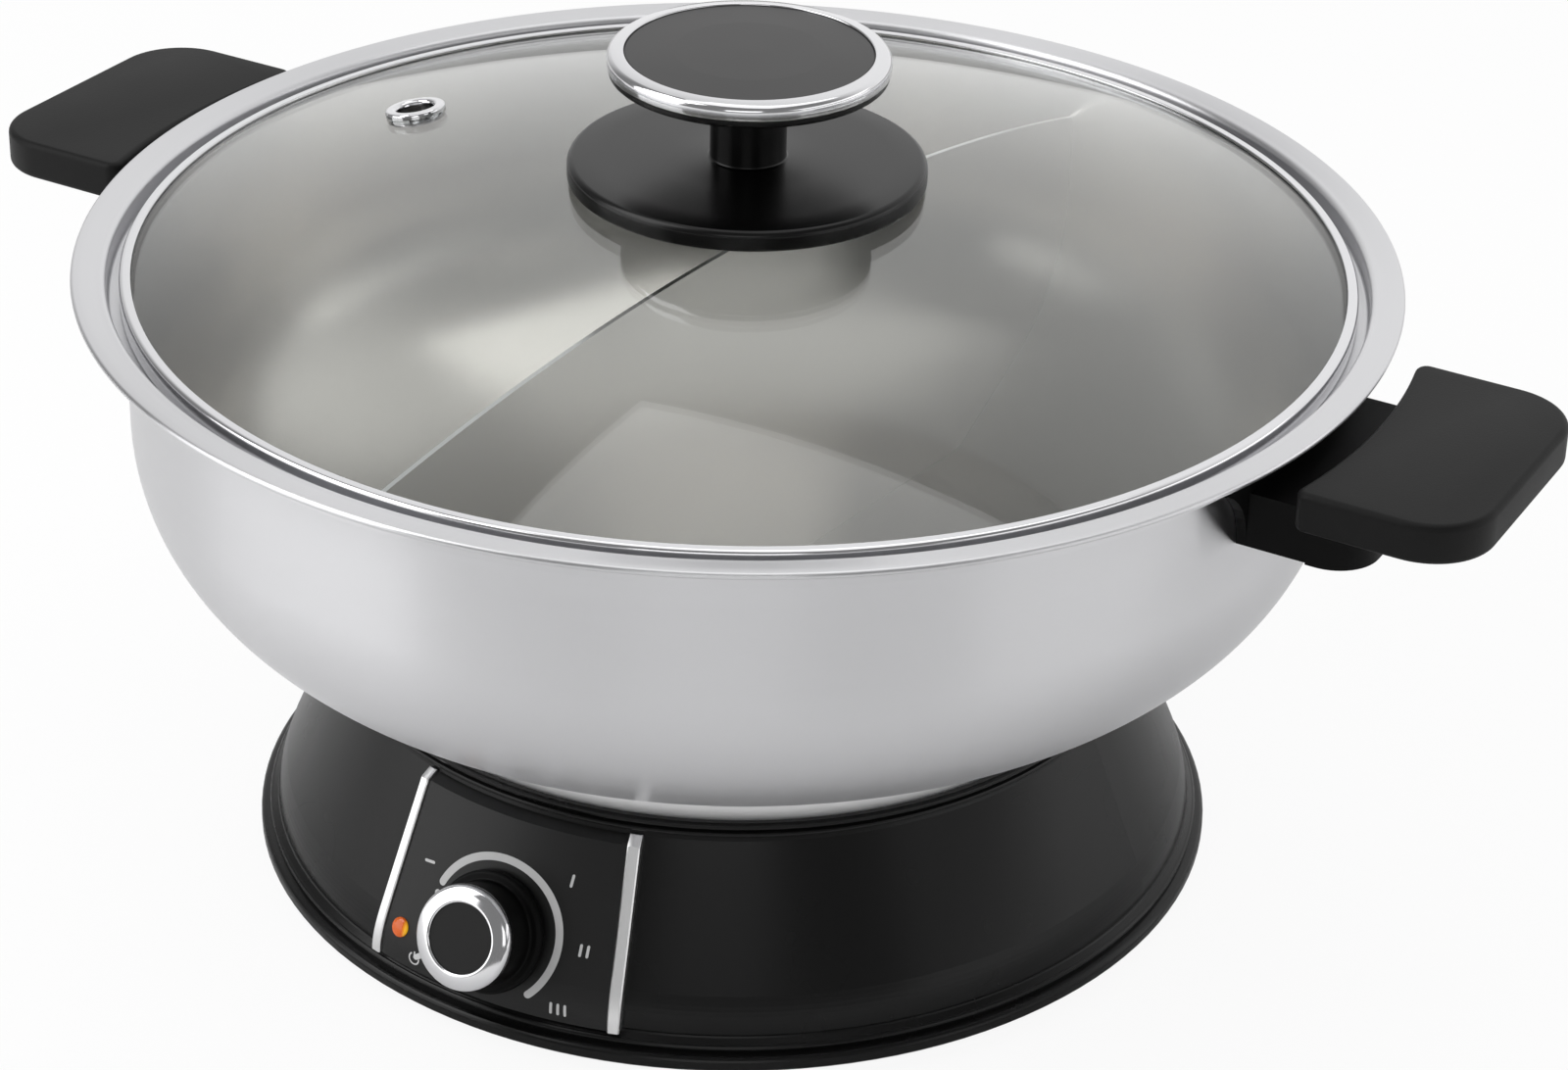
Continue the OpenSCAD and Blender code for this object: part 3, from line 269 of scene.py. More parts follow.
# Fasteners, plate and element are the plain metals of the inside.
zinc_steel = new_material("zinc_plated_steel", "#b8babd", 0.35, 1.0)[0]
cast_aluminium = new_material("machined_aluminium", "#b9bbbd", 0.38, 1.0)[0]
element_steel = new_material("oxidised_element_tube", "#77777a", 0.45, 1.0)[0]
print("steels made")

# %% [markdown]
# ## Glass
# Tempered soda-lime glass is clear with a trace of green. Light passes it to the pot below, so shadow rays
# meet a thin tint in place of the refracting shader.

# %% Glass
def clear_glass(name, tint, shadow_tint, roughness):
    """Refracting glass that casts only a tinted shadow."""
    material, tree, shader = new_material(name, tint, roughness, Transmission_Weight=1.0, IOR=1.5)
    clear = add(tree, "ShaderNodeBsdfTransparent", {"Color": colour(shadow_tint)})
    rays = add(tree, "ShaderNodeLightPath")
    mixed = add(tree, "ShaderNodeMixShader", {
        0: rays.outputs["Is Shadow Ray"], 1: shader.outputs[0], 2: clear.outputs[0]})
    tree.links.new(mixed.outputs[0], tree.nodes["Material Output"].inputs["Surface"])
    return material


# The dome shows the bowl below under a pale mirror of the room, and the lamp's bulb is a warm tint.
glass = clear_glass("tempered_glass", "#f6f8f7", "#eef2f1", 0.0)
lamp_glass = clear_glass("lamp_glass", "#ffd9a0", "#ffd9a0", 0.05)
print("glass made")

# %% [markdown]
# ## The amber lens
# The lens is amber and glows a little. Its yellow side is a painted highlight that blends into the orange of the
# rest.

# %% Lens
LENS_HIGHLIGHT_X = -23.2 * MM
LENS_BLEND = 1.2 * MM
amber, tree, shader = new_material("amber_polycarbonate", "#e0581a", 0.12, Emission_Strength=0.4)
parts = add(tree, "ShaderNodeSeparateXYZ", {0: place_of(tree)})
# Painted highlight: yellow past LENS_HIGHLIGHT_X and orange on the rest. The emission takes the same colours, so
# the painted highlight glows too.
highlight_side = add(tree, "ShaderNodeMapRange", {0: parts.outputs[0], 1: LENS_HIGHLIGHT_X - LENS_BLEND, 2: LENS_HIGHLIGHT_X})
blend = add(tree, "ShaderNodeMix", {0: highlight_side.outputs[0], 6: colour("#bd5210"), 7: colour("#ffc22a")},
            data_type="RGBA")
tree.links.new(blend.outputs[2], shader.inputs["Base Color"])
tree.links.new(blend.outputs[2], shader.inputs["Emission Color"])
print("lens made")

# %% [markdown]
# ## First coat
# Every CAD piece takes the finish that the record names for it. Some are replaced by finer ones below.

# %% Finishes by slot
SLOT_FINISHES = {
    "black_plastic": housing_black, "panel_black": panel_black, "rubber": silicone,
    "polished_steel": chrome, "pot_steel": inside_steel, "base_disc_steel": disc_pale_painted_sheen,
    "zinc_steel": zinc_steel, "cast_aluminium": cast_aluminium, "element_steel": element_steel,
    "thermostat_shell": phenolic, "terminal_white": phenolic, "sensor_brown": brown_phenolic,
    "amber_lens": amber, "lamp_glass": lamp_glass, "clear_glass": glass, "white_mark": mark_white,
    "knob_black": knob_black}
NODE_FINISHES = {
    "handle_grip_right": grip_black, "handle_grip_left": grip_black,
    "handle_guard_right": guard_black, "handle_guard_left": guard_black,
    "trim_strip_left": strip_steel, "trim_strip_right": strip_steel,
    "dial_body": dial_black, "dial_face": dial_face_black, "lid_knob_inlay": inlay_black}
slots = {entry["node"]: entry["material_slot"] for entry in frame["record"]["subparts"]}
for name, node in frame["nodes"].items():
    node.data.materials.clear()
    node.data.materials.append(NODE_FINISHES.get(name, SLOT_FINISHES[slots[name]]))
print(len(slots), "nodes coated")

# %% [markdown]
# ## Turned pieces
# The bowl, the dial and most of the lid are round, as spun, turned or moulded pieces are. Each is an outline
# of radius and height carried round the axis. A grid of points does it: its columns are steps round the
# axis and its rows are the outline's points, and the seam is welded at the end.

# %% A tree that turns an outline
TURNS = 288               # steps round the axis
WELD = 0.002 * MM         # points closer than this become one


def turning_tree():
    """Geometry nodes that carry an outline in the XZ plane round the Z axis."""
    tree = bpy.data.node_groups.new("turn_outline", "GeometryNodeTree")
    tree.interface.new_socket("Outline", in_out="INPUT", socket_type="NodeSocketGeometry")
    tree.interface.new_socket("Turns", in_out="INPUT", socket_type="NodeSocketInt")
    tree.interface.new_socket("Finish", in_out="INPUT", socket_type="NodeSocketMaterial")
    tree.interface.new_socket("Piece", in_out="OUTPUT", socket_type="NodeSocketGeometry")
    given = add(tree, "NodeGroupInput").outputs
    rows = add(tree, "GeometryNodeAttributeDomainSize", {0: given["Outline"]}).outputs["Point Count"]
    grid = add(tree, "GeometryNodeMeshGrid", {
        "Vertices X": math_node(tree, "ADD", given["Turns"], 1.0), "Vertices Y": rows})
    index = add(tree, "GeometryNodeInputIndex").outputs[0]
    column = math_node(tree, "FLOOR", math_node(tree, "DIVIDE", index, rows))
    row = math_node(tree, "SUBTRACT", index, math_node(tree, "MULTIPLY", column, rows))
    angle = math_node(tree, "DIVIDE", math_node(tree, "MULTIPLY", column, 2 * math.pi), given["Turns"])
    point = add(tree, "GeometryNodeSampleIndex", {
        0: given["Outline"], 1: add(tree, "GeometryNodeInputPosition").outputs[0], "Index": row},
        data_type="FLOAT_VECTOR")
    turned = add(tree, "ShaderNodeVectorRotate", {"Vector": point.outputs[0], "Angle": angle},
                 rotation_type="Z_AXIS")
    placed = add(tree, "GeometryNodeSetPosition", {
        "Geometry": grid.outputs["Mesh"], "Position": turned.outputs[0]})
    welded = add(tree, "GeometryNodeMergeByDistance", {"Geometry": placed.outputs[0], "Distance": WELD})
    real = add(tree, "GeometryNodeRealizeInstances", {0: welded.outputs[0]})
    coated = add(tree, "GeometryNodeSetMaterial", {"Geometry": real.outputs[0], "Material": given["Finish"]})
    add(tree, "NodeGroupOutput", {0: coated.outputs[0]})
    return tree


TURNING = turning_tree()
print(TURNING.name, len(TURNING.nodes), "nodes")

# %% [markdown]
# ### From an outline to a finished piece
# A piece is smoothed, except along edges that turn by more than 32 degrees, which stay crisp as on a turned part.
# Then it is hung from the empty of the body that carries it, and the CAD nodes that it stands for are hidden.

# %% Making one piece
SHARP = math.radians(32)


def mesh_object(name, points, edges=(), faces=()):
    """A new object in the scene from points in metres."""
    mesh = bpy.data.meshes.new(name)
    mesh.from_pydata(points, edges, faces)
    piece = bpy.data.objects.new(name, mesh)
    bpy.context.collection.objects.link(piece)
    return piece


def finished(piece, body, slot, *nodes):
    """Smooths a piece, points its faces outwards, hangs it from its body and hides the CAD nodes that it stands
    for.
    """
    shape = bmesh.new()
    shape.from_mesh(piece.data)
    bmesh.ops.remove_doubles(shape, verts=shape.verts, dist=WELD)
    bmesh.ops.dissolve_degenerate(shape, edges=shape.edges, dist=WELD / 2)
    bmesh.ops.recalc_face_normals(shape, faces=shape.faces)
    shape.to_mesh(piece.data)
    shape.free()
    piece.data.shade_smooth()
    piece.data.set_sharp_from_angle(angle=SHARP)
    if nodes:
        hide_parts(*nodes)
    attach(piece, body)
    print(piece.name, len(piece.data.polygons), "faces")
    return piece


def turned(name, outline, finish, place=None, turns=TURNS):
    """Turns an outline of (radius, height) in millimetres, and may set it at a place of its own."""
    source = mesh_object(name + "_outline", [(r * MM, 0, z * MM) for r, z in outline],
                         [(i, i + 1) for i in range(len(outline) - 1)])
    modifier = source.modifiers.new("turn", "NODES")
    modifier.node_group = TURNING
    inputs = {item.name: item.identifier for item in TURNING.interface.items_tree if item.in_out == "INPUT"}
    modifier[inputs["Turns"]] = turns
    modifier[inputs["Finish"]] = finish
    made = bpy.data.meshes.new_from_object(source.evaluated_get(bpy.context.evaluated_depsgraph_get()))
    bpy.data.objects.remove(source)
    if place:
        made.transform(place)
    piece = bpy.data.objects.new(name, made)
    bpy.context.collection.objects.link(piece)
    return piece


def arc(centre, radius, start, end, steps):
    """Points of an arc, whose ends are given in degrees."""
    angles = [math.radians(start + (end - start) * i / steps) for i in range(steps + 1)]
    return [(centre[0] + radius * math.cos(a), centre[1] + radius * math.sin(a)) for a in angles]


print("a quarter circle in two steps:", [(round(x, 2), round(y, 2)) for x, y in arc((0, 0), 1, 0, 90, 2)])

# %% [markdown]
# ## Sizes from the frame
# Most pieces take their size and place from the CAD nodes that they stand for, in millimetres.

# %% Sizes from the frame
def half_width(node):
    """Half a node's width in millimetres."""
    low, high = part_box(node)
    return (high[0] - low[0]) / 2 / MM


def bottom(node):
    """Lowest point of a node in millimetres."""
    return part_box(node)[0][2] / MM


def top(node):
    """Highest point of a node in millimetres."""
    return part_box(node)[1][2] / MM


RIM_R = 160.0             # over the rolled rim
RIM_TOP = top("pot_bowl")
POT_FOOT = bottom("pot_base_disc")
FLOOR_Z = bottom("pot_bowl")
GLASS_TOP = top("lid_glass")
KNOB_TOP = top("lid_knob_ring")
print("rim", RIM_TOP, "pot floor", FLOOR_Z, "glass", GLASS_TOP, "knob", KNOB_TOP)

# %% [markdown]
# ## The bowl
# A bowl like this is drawn from one sheet in a press and its rim is hemmed. The outline follows the outside
# up from the floor, over the hemmed rim, down the step that seats the lid, and back along the inside.

# %% Bowl
SHEET = 0.9               # thickness of the steel
WALL_R = RIM_R - 12       # outside of the wall
RIM_INNER_R = RIM_R - 8.2
SEAT_Z = RIM_TOP - 6.5    # where the lid's channel stands
BELLY_R = 50.0            # the round corner between wall and floor
BELLY_C = (WALL_R - BELLY_R, POT_FOOT + 65.5)
FLOOR_R = 98.0
HEM_R = 0.8
to_floor = (FLOOR_R - BELLY_C[0], FLOOR_Z - BELLY_C[1])
BELLY_START = math.degrees(math.atan2(to_floor[1], to_floor[0]) + math.acos(BELLY_R / math.hypot(*to_floor)))

outside = (
    [(0, FLOOR_Z), (FLOOR_R - 1, FLOOR_Z), (FLOOR_R, FLOOR_Z + 0.02)]
    + arc(BELLY_C, BELLY_R, BELLY_START, 0, 40)
    + [(WALL_R, z) for z in (BELLY_C[1] + 10, BELLY_C[1] + 20)]
    + arc((WALL_R + 1.4, SEAT_Z - SHEET - 1.4), 1.4, 180, 90, 6)
    + [(RIM_INNER_R + SHEET, SEAT_Z - SHEET)]
    + [(RIM_INNER_R + SHEET, RIM_TOP - 2.4), (RIM_INNER_R + 2.2, RIM_TOP - 1.5), (RIM_R - 2, RIM_TOP - 1.3)])
inside = (
    arc((RIM_R - HEM_R, RIM_TOP - HEM_R), HEM_R, -110, 90, 16)
    + [(RIM_R - 3, RIM_TOP - 0.12), (RIM_INNER_R + 3, RIM_TOP - 0.45)]
    + arc((RIM_INNER_R + 1.6, RIM_TOP - 2.2), 1.6, 85, 180, 8)
    + arc((RIM_INNER_R - 1, SEAT_Z + 1), 1, 0, -90, 6)
    + arc((WALL_R - SHEET + 0.9, SEAT_Z - 0.9), 0.9, 90, 180, 5)
    + arc(BELLY_C, BELLY_R - SHEET, 0, BELLY_START, 40)
    + [(FLOOR_R - 0.3, FLOOR_Z + SHEET + 0.1), (FLOOR_R - 3, FLOOR_Z + SHEET), (0, FLOOR_Z + SHEET)])
bowl = turned("bowl_drawn", outside + inside, bowl_steel)
finished(bowl, "pot", "pot_steel", "pot_bowl")

# %% [markdown]
# ### Two more finishes on the bowl
# The brushing stops under the rim. Above it the steel is finer, and the inside has a satin of its own. A face
# is on the inside when it looks inwards and up.

# %% Rim and inside
RIM_FINISH, INSIDE_FINISH = 1, 2
RIM_FROM = SEAT_Z - SHEET - 0.2
bowl.data.materials.append(rim_steel)
bowl.data.materials.append(inside_steel)
for face in bowl.data.polygons:
    middle = face.center / MM
    looks_in = face.normal.dot(Vector((middle.x, middle.y, -40))) < 0
    if middle.z > RIM_FROM:
        face.material_index = RIM_FINISH
    elif math.hypot(middle.x, middle.y) < WALL_R - SHEET / 2 and looks_in:
        face.material_index = INSIDE_FINISH
print("faces of each finish", [
    sum(face.material_index == index for face in bowl.data.polygons) for index in range(3)])

# %% [markdown]
# ## The disc under the bowl
# A thick aluminium disc is bonded under the steel to spread the heat. Its turned edge has a small round.

# %% Disc
disc_r = half_width("pot_base_disc")
disc = turned("bowl_disc", [
    (0, POT_FOOT), (disc_r - 1.5, POT_FOOT)] + arc((disc_r - 1.2, POT_FOOT + 1.2), 1.2, -90, 0, 6) + [
    (disc_r, FLOOR_Z - 0.6), (disc_r - 0.4, FLOOR_Z), (0, FLOOR_Z)], disc_pale_painted_sheen)
finished(disc, "pot", "base_disc_steel", "pot_base_disc")

# %% [markdown]
# ## The lid's channel
# The glass is edged with a steel channel, folded in so that its lower lip stands on the bowl's seat.

# %% Channel
LID_R = half_width("lid_rim_ring")
RING_LIP_R = LID_R - 2.7
RING_TOP = top("lid_rim_ring")
ring = turned("lid_channel", (
    [(RING_LIP_R, SEAT_Z), (LID_R - 0.8, SEAT_Z)] + arc((LID_R - 0.7, SEAT_Z + 0.7), 0.7, -90, 0, 5)
    + arc((LID_R - 1.1, RING_TOP - 1.1), 1.1, 0, 90, 8)
    + [(RING_LIP_R + 0.2, RING_TOP)] + arc((RING_LIP_R + 0.25, RING_TOP - 0.3), 0.25, 90, 180, 3)
    + [(RING_LIP_R, RING_TOP - 0.65), (LID_R - 0.6, RING_TOP - 0.65), (LID_R - 0.6, SEAT_Z + 0.6),
       (RING_LIP_R, SEAT_Z + 0.6), (RING_LIP_R, SEAT_Z)]), chrome)
finished(ring, "lid", "polished_steel", "lid_rim_ring")

# %% [markdown]
# ## The glass dome
# Tempered glass is pressed over a form, so both faces are parts of spheres with one centre. It has a hole in
# the middle for the knob's screw.

# %% Dome
GLASS_R = LID_R - 0.75
GLASS_T = 4.0
GLASS_EDGE = RING_TOP - 1.35
DOME_RISE = GLASS_TOP - GLASS_EDGE
DOME_R = (GLASS_R ** 2 + DOME_RISE ** 2) / (2 * DOME_RISE)
DOME_Z = GLASS_TOP - DOME_R


def dome_height(r, radius=DOME_R):
    """Height of the dome's face at a distance from the axis."""
    return DOME_Z + math.sqrt(radius ** 2 - r ** 2)


GLASS_FOOT = SEAT_Z + 0.7
UNDER_R = DOME_R - GLASS_T
KNOB_HOLE_R = 3.2
foot_end = math.degrees(math.asin((GLASS_FOOT - DOME_Z) / UNDER_R))
glass_end = math.degrees(math.asin((GLASS_EDGE - DOME_Z) / DOME_R))
top_start = math.degrees(math.acos(KNOB_HOLE_R / DOME_R))
under_start = math.degrees(math.acos(KNOB_HOLE_R / UNDER_R))
dome = turned("glass_dome", (
    arc((0, DOME_Z), DOME_R, top_start, glass_end, 90) + [(GLASS_R, GLASS_FOOT)]
    + arc((0, DOME_Z), UNDER_R, foot_end, under_start, 90)
    + [(KNOB_HOLE_R, dome_height(KNOB_HOLE_R))]), glass)
finished(dome, "lid", "clear_glass", "lid_glass")
print("dome radius", round(DOME_R, 1), "mm")

# %% [markdown]
# ### The steam vent's hole
# The hole for the eyelet is drilled square to the glass, where the frame says that the eyelet is.

# %% Vent
VENT_HOLE_R = 5.75
DRILL_DEPTH = 14
eyelet_low, eyelet_high = (Vector(corner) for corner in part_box("lid_vent_eyelet"))
eyelet = (eyelet_low + eyelet_high) / 2
vent_lean = math.asin(math.hypot(eyelet.x, eyelet.y) / MM / DOME_R)
bpy.ops.mesh.primitive_cylinder_add(vertices=64, radius=VENT_HOLE_R * MM, depth=DRILL_DEPTH * MM)
drill = bpy.context.object
drill.data.transform(Matrix.Translation(eyelet) @ Matrix.Rotation(math.atan2(eyelet.y, eyelet.x), 4, "Z")
                     @ Matrix.Rotation(vent_lean, 4, "Y"))
cut = dome.modifiers.new("vent", "BOOLEAN")
cut.object = drill
cut.operation = "DIFFERENCE"
drilled = bpy.data.meshes.new_from_object(dome.evaluated_get(bpy.context.evaluated_depsgraph_get()))
dome.modifiers.remove(cut)
dome.data = drilled
dome.data.set_sharp_from_angle(angle=SHARP)
bpy.data.objects.remove(drill)
print("drilled", len(dome.data.polygons), "faces")

# %% [markdown]
# ## The knob
# One phenolic moulding has a saucer that keeps fingers off the hot glass, a stem and a head. A chromed bezel
# sits on the head, and the moulding's black edge shows under it.

# %% Knob
SAUCER_R = half_width("lid_knob_body")
SAUCER_TOP = GLASS_TOP + 3.4
SAUCER_EDGE = dome_height(SAUCER_R) + 0.3
STEM_R = 9.2
HEAD_R = half_width("lid_knob_ring")
HEAD_STEM_Z = KNOB_TOP - 8     # where the stem meets the head
HEAD_EDGE_Z = KNOB_TOP - 5.9   # foot of the head's black edge
RING_SEAT = KNOB_TOP - 4.2     # where the bezel sits
INLAY_R = 29.8
INLAY_Z = KNOB_TOP - 2.2
knob = turned("knob_moulding", (
    [(0, GLASS_TOP + 1), (12, GLASS_TOP + 1), (12, GLASS_TOP + 1.4), (SAUCER_R - 3, SAUCER_EDGE + 1.4),
     (SAUCER_R - 2.4, SAUCER_EDGE + 0.1)]
    + arc((SAUCER_R - 1.0, SAUCER_EDGE + 1.0), 1.0, -110, 0, 8)
    + arc((SAUCER_R - 1.8, SAUCER_TOP - 1.5), 1.8, 0, 84, 10)
    + [(SAUCER_R - 8, SAUCER_TOP + 0.3), (STEM_R + 12, SAUCER_TOP + 0.62)]
    + arc((STEM_R + 0.7, SAUCER_TOP + 1.42), 0.7, 268, 180, 8)
    + arc((STEM_R + 3, HEAD_STEM_Z - 3), 3, 180, 98, 10)
    + [(HEAD_R - 10, HEAD_EDGE_Z - 0.8), (HEAD_R - 3, HEAD_EDGE_Z - 0.1)]
    + arc((HEAD_R - 1.3, HEAD_EDGE_Z + 0.9), 0.9, -80, 0, 6)
    + [(HEAD_R - 0.4, RING_SEAT), (INLAY_R - 0.1, RING_SEAT), (INLAY_R - 0.1, INLAY_Z), (0, INLAY_Z)]),
    knob_black)
finished(knob, "lid", "knob_black", "lid_knob_body")

# %% [markdown]
# ### The knob's bezel
# It is a rolled ring: flat where it meets the inlay, and rounded down to the head.

# %% Knob's bezel
bezel = turned("knob_bezel", (
    [(INLAY_R, RING_SEAT + 0.05), (HEAD_R - 0.6, RING_SEAT + 0.05)]
    + arc((HEAD_R - 0.6, RING_SEAT + 0.65), 0.6, -90, 0, 5)
    + arc((HEAD_R - 1.8, KNOB_TOP - 2.0), 1.8, 0, 68, 12)
    + [(INLAY_R + 0.9, KNOB_TOP - 0.08)] + arc((INLAY_R + 0.4, KNOB_TOP - 0.4), 0.4, 80, 180, 6)
    + [(INLAY_R, RING_SEAT + 0.05)]), chrome)
finished(bezel, "lid", "polished_steel", "lid_knob_ring")

# %% [markdown]
# ## Stacked outlines
# What isn't round is a stack of outlines joined by faces, as a lofted solid is in CAD. The outlines of a stack
# have as many points each.

# %% Stacked outlines
def stack(name, rings, finish):
    """Joins equal outlines, given in millimetres, and closes both ends."""
    count = len(rings[0])
    points = [[c * MM for c in point] for ring in rings for point in ring]
    sides = [(k * count + i, k * count + (i + 1) % count, (k + 1) * count + (i + 1) % count,
              (k + 1) * count + i) for k in range(len(rings) - 1) for i in range(count)]
    ends = [tuple(range(count)), tuple((len(rings) - 1) * count + i for i in range(count))]
    piece = mesh_object(name, points, faces=sides + ends)
    piece.data.materials.append(finish)
    return piece


print("stacks take a list of outlines, from one end to the other")

# %% [markdown]
# ## The grips
# A grip is a phenolic moulding. Its plate has an inner edge that follows the rim, large corners at the outer
# end, a rounded upper edge for the palm and a block under it for the long screw.

# %% Grip sizes
GRIP_IN_R = 165.1         # the inner edge, which follows the rim
GRIP_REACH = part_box("handle_grip_right")[1][0] / MM
GRIP_HALF = 37.8
GRIP_CORNER = 16.5
GRIP_INNER_CORNER = 3.0
GRIP_TOP = RIM_TOP - 3.7
GRIP_BOTTOM = GRIP_TOP - 10
GUARD_BOTTOM = bottom("handle_guard_right")
SEAM_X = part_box("handle_guard_right")[1][0] / MM + 0.2   # where the block meets the guard
BLOCK_HALF = 29.8
BLOCK_CORNER = 11.0
BLOCK_LENGTH = 13.4
print("grip reaches", round(GRIP_REACH, 1), "mm from the axis")

# %% [markdown]
# ### The plate's outline and edges
# The outline is drawn once, and drawn in at the top and the foot by an inset that follows a quarter circle.

# %% Grips
def grip_outline(inset):
    """Plan of a grip's plate, drawn in by an inset."""
    corner_r = GRIP_IN_R + GRIP_INNER_CORNER
    turn = math.asin((GRIP_HALF - GRIP_INNER_CORNER) / corner_r)
    small = (corner_r * math.cos(turn), corner_r * math.sin(turn))
    big = (GRIP_REACH - GRIP_CORNER, GRIP_HALF - GRIP_CORNER)
    degrees = math.degrees(turn)
    front = arc((small[0], -small[1]), GRIP_INNER_CORNER - inset, 180 - degrees, 270, 8)
    front += arc((big[0], -big[1]), GRIP_CORNER - inset, -90, 0, 18)
    inner = arc((0, 0), GRIP_IN_R + inset, degrees, -degrees, 16)[1:-1]
    return front + [(x, -y) for x, y in reversed(front)] + inner


def grip_rings(round_top, round_foot, crown):
    """Outlines of the plate from its foot to its crowned top."""
    levels = [(round_foot * (1 - math.sin(a)), GRIP_BOTTOM + round_foot * (1 - math.cos(a)))
              for a in [math.pi / 2 * i / 5 for i in range(6)]]
    levels += [(round_top * (1 - math.cos(a)), GRIP_TOP - crown - round_top * (1 - math.sin(a)))
               for a in [math.pi / 2 * i / 7 for i in range(8)]]
    return [[(x, y, z) for x, y in grip_outline(inset)] for inset, z in levels]


for side, turn in (("right", 0), ("left", 180)):
    about = Matrix.Rotation(math.radians(turn), 4, "Z")
    plate = stack("grip_plate_" + side, grip_rings(1.7, 1.4, 0.2), grip_black)
    plate.data.transform(about)
    finished(plate, "pot", "panel_black", "handle_grip_" + side)
    end = SEAM_X + BLOCK_LENGTH
    corner = (end - BLOCK_CORNER, BLOCK_HALF - BLOCK_CORNER)
    plan = [(SEAM_X, -BLOCK_HALF)] + arc((corner[0], -corner[1]), BLOCK_CORNER, -90, 0, 14)
    plan += [(x, -y) for x, y in reversed(plan)]
    block = stack("grip_block_" + side, [[(x, y, z) for x, y in plan]
                                         for z in (GUARD_BOTTOM, GRIP_BOTTOM + 0.6)], guard_black)
    block.data.transform(about)
    finished(block, "pot", "panel_black")

# %% [markdown]
# ## The divider
# The divider is a flat sheet with an arched upper edge. Its foot is welded to the bowl, so it sinks into it a
# little.

# %% Divider
DIVIDER_TURN = math.radians(90 - 6.5)
DIVIDER_T = 1.2
DIVIDER_TOP = POT_FOOT + 103
DIVIDER_ARCH = 16.0
SINK = 0.35               # depth of the weld
arch_half = WALL_R - SHEET
arch_r = (arch_half ** 2 + DIVIDER_ARCH ** 2) / (2 * DIVIDER_ARCH)
arch_end = math.degrees(math.acos(arch_half / arch_r))
half = [(FLOOR_R - 0.5, FLOOR_Z + SHEET - SINK)] + arc(BELLY_C, BELLY_R - SHEET + SINK, BELLY_START, 0, 40)
sheet_line = half + arc((0, DIVIDER_TOP - arch_r), arch_r, arch_end, 180 - arch_end, 60)
sheet_line += [(-x, z) for x, z in reversed(half)]
along = Vector((math.cos(DIVIDER_TURN), math.sin(DIVIDER_TURN), 0))
across = Vector((-along.y, along.x, 0))
divider = stack("divider_sheet", [[along * x + across * offset + Vector((0, 0, z)) for x, z in sheet_line]
                                  for offset in (-DIVIDER_T / 2, DIVIDER_T / 2)], divider_steel)
finished(divider, "pot", "pot_steel", "pot_divider")

# %% [markdown]
# ## The dial
# The dial is turned about its own axis, which leans back with the panel's face. The joint gives that axis.

# %% Dial
hinge = next(joint for joint in frame["joints"] if joint["name"] == "dial_turn")
DIAL_CENTRE = Vector(hinge["pos_m"])
DIAL_AXIS = -Vector(hinge["axis"]).normalized()
DIAL_UP = Vector((0, 0, 1)) - DIAL_AXIS * DIAL_AXIS.z
DIAL_UP.normalize()
DIAL_SIDE = DIAL_UP.cross(DIAL_AXIS)
on_dial = Matrix.Translation(DIAL_CENTRE) @ Matrix((DIAL_SIDE, DIAL_UP, DIAL_AXIS)).transposed().to_4x4()
DIAL_H = 14.4             # over the panel's face
RING_BACK = DIAL_H - 3.6  # where the bezel sits
SKIRT_R = 14.6
GRIP_R = 12.2
FACE_R = 8.3
dial = turned("dial_moulding", (
    [(3.2, 0.5), (SKIRT_R - 0.5, 0.5)] + arc((SKIRT_R - 0.5, 1.0), 0.5, -90, 0, 4)
    + arc((SKIRT_R - 1, 2.1), 1, 0, 90, 6) + arc((GRIP_R + 0.6, 3.7), 0.6, 270, 180, 5)
    + [(GRIP_R, RING_BACK), (FACE_R - 0.3, RING_BACK), (FACE_R - 0.3, RING_BACK + 1.8), (3.2, RING_BACK + 1.8),
       (3.2, 0.5)]), dial_black, on_dial, turns=128)
finished(dial, "dial", "black_plastic", "dial_body")

# %% [markdown]
# ### The dial's bezel and pointer
# The bezel is a thick chromed ring round the black face. The pointer is a white bar moulded into the dial's
# side, and at rest it stands at the power sign.

# %% Bezel and pointer
dial_bezel = turned("dial_bezel", (
    [(FACE_R, RING_BACK + 0.05), (GRIP_R, RING_BACK + 0.05)]
    + arc((GRIP_R - 1.3, RING_BACK + 1.6), 1.6, -30, 60, 14)
    + [(FACE_R + 0.9, DIAL_H)] + arc((FACE_R + 0.4, DIAL_H - 0.4), 0.4, 90, 180, 5)
    + [(FACE_R, RING_BACK + 0.05)]), chrome, on_dial, turns=128)
finished(dial_bezel, "dial", "polished_steel", "dial_ring")

OFF_TURN = Matrix.Rotation(math.radians(216), 4, "Z")
POINTER_PLAN = [(11.9, -0.65), (14.6, -0.65), (15.0, -0.25), (15.0, 0.25), (14.6, 0.65), (11.9, 0.65)]
pointer = stack("pointer_bar", [
    [(x, y, z) for x, y in POINTER_PLAN] for z in (RING_BACK - 2.2, RING_BACK + 1.0)], mark_white)
pointer.data.transform(on_dial @ OFF_TURN)
finished(pointer, "dial", "white_mark", "dial_pointer")

# %% [markdown]
# ## The panel's face
# The panel follows the housing, which is a cone above and bells out at the skirt. The marks and the strips
# are drawn by distances on that face: u runs round the panel and w runs up it from the dial's centre.

# %% The panel's face
NECK_R = 99.9
NECK_Z = 53.8
CONE_FOOT = (114.4, 20.3)
SKIRT = (116.6, 11.0)
CONE_LEAN = math.atan((CONE_FOOT[0] - NECK_R) / (NECK_Z - CONE_FOOT[1]))
PANEL_PROUD = 2.2
INK = 0.03                # thickness of the print


def skirt_radius(z):
    """Radius of the skirt, which bells out from the cone's foot."""
    return CONE_FOOT[0] + (SKIRT[0] - CONE_FOOT[0]) * math.sin(
        math.pi / 2 * (CONE_FOOT[1] - z) / (CONE_FOOT[1] - SKIRT[1]))


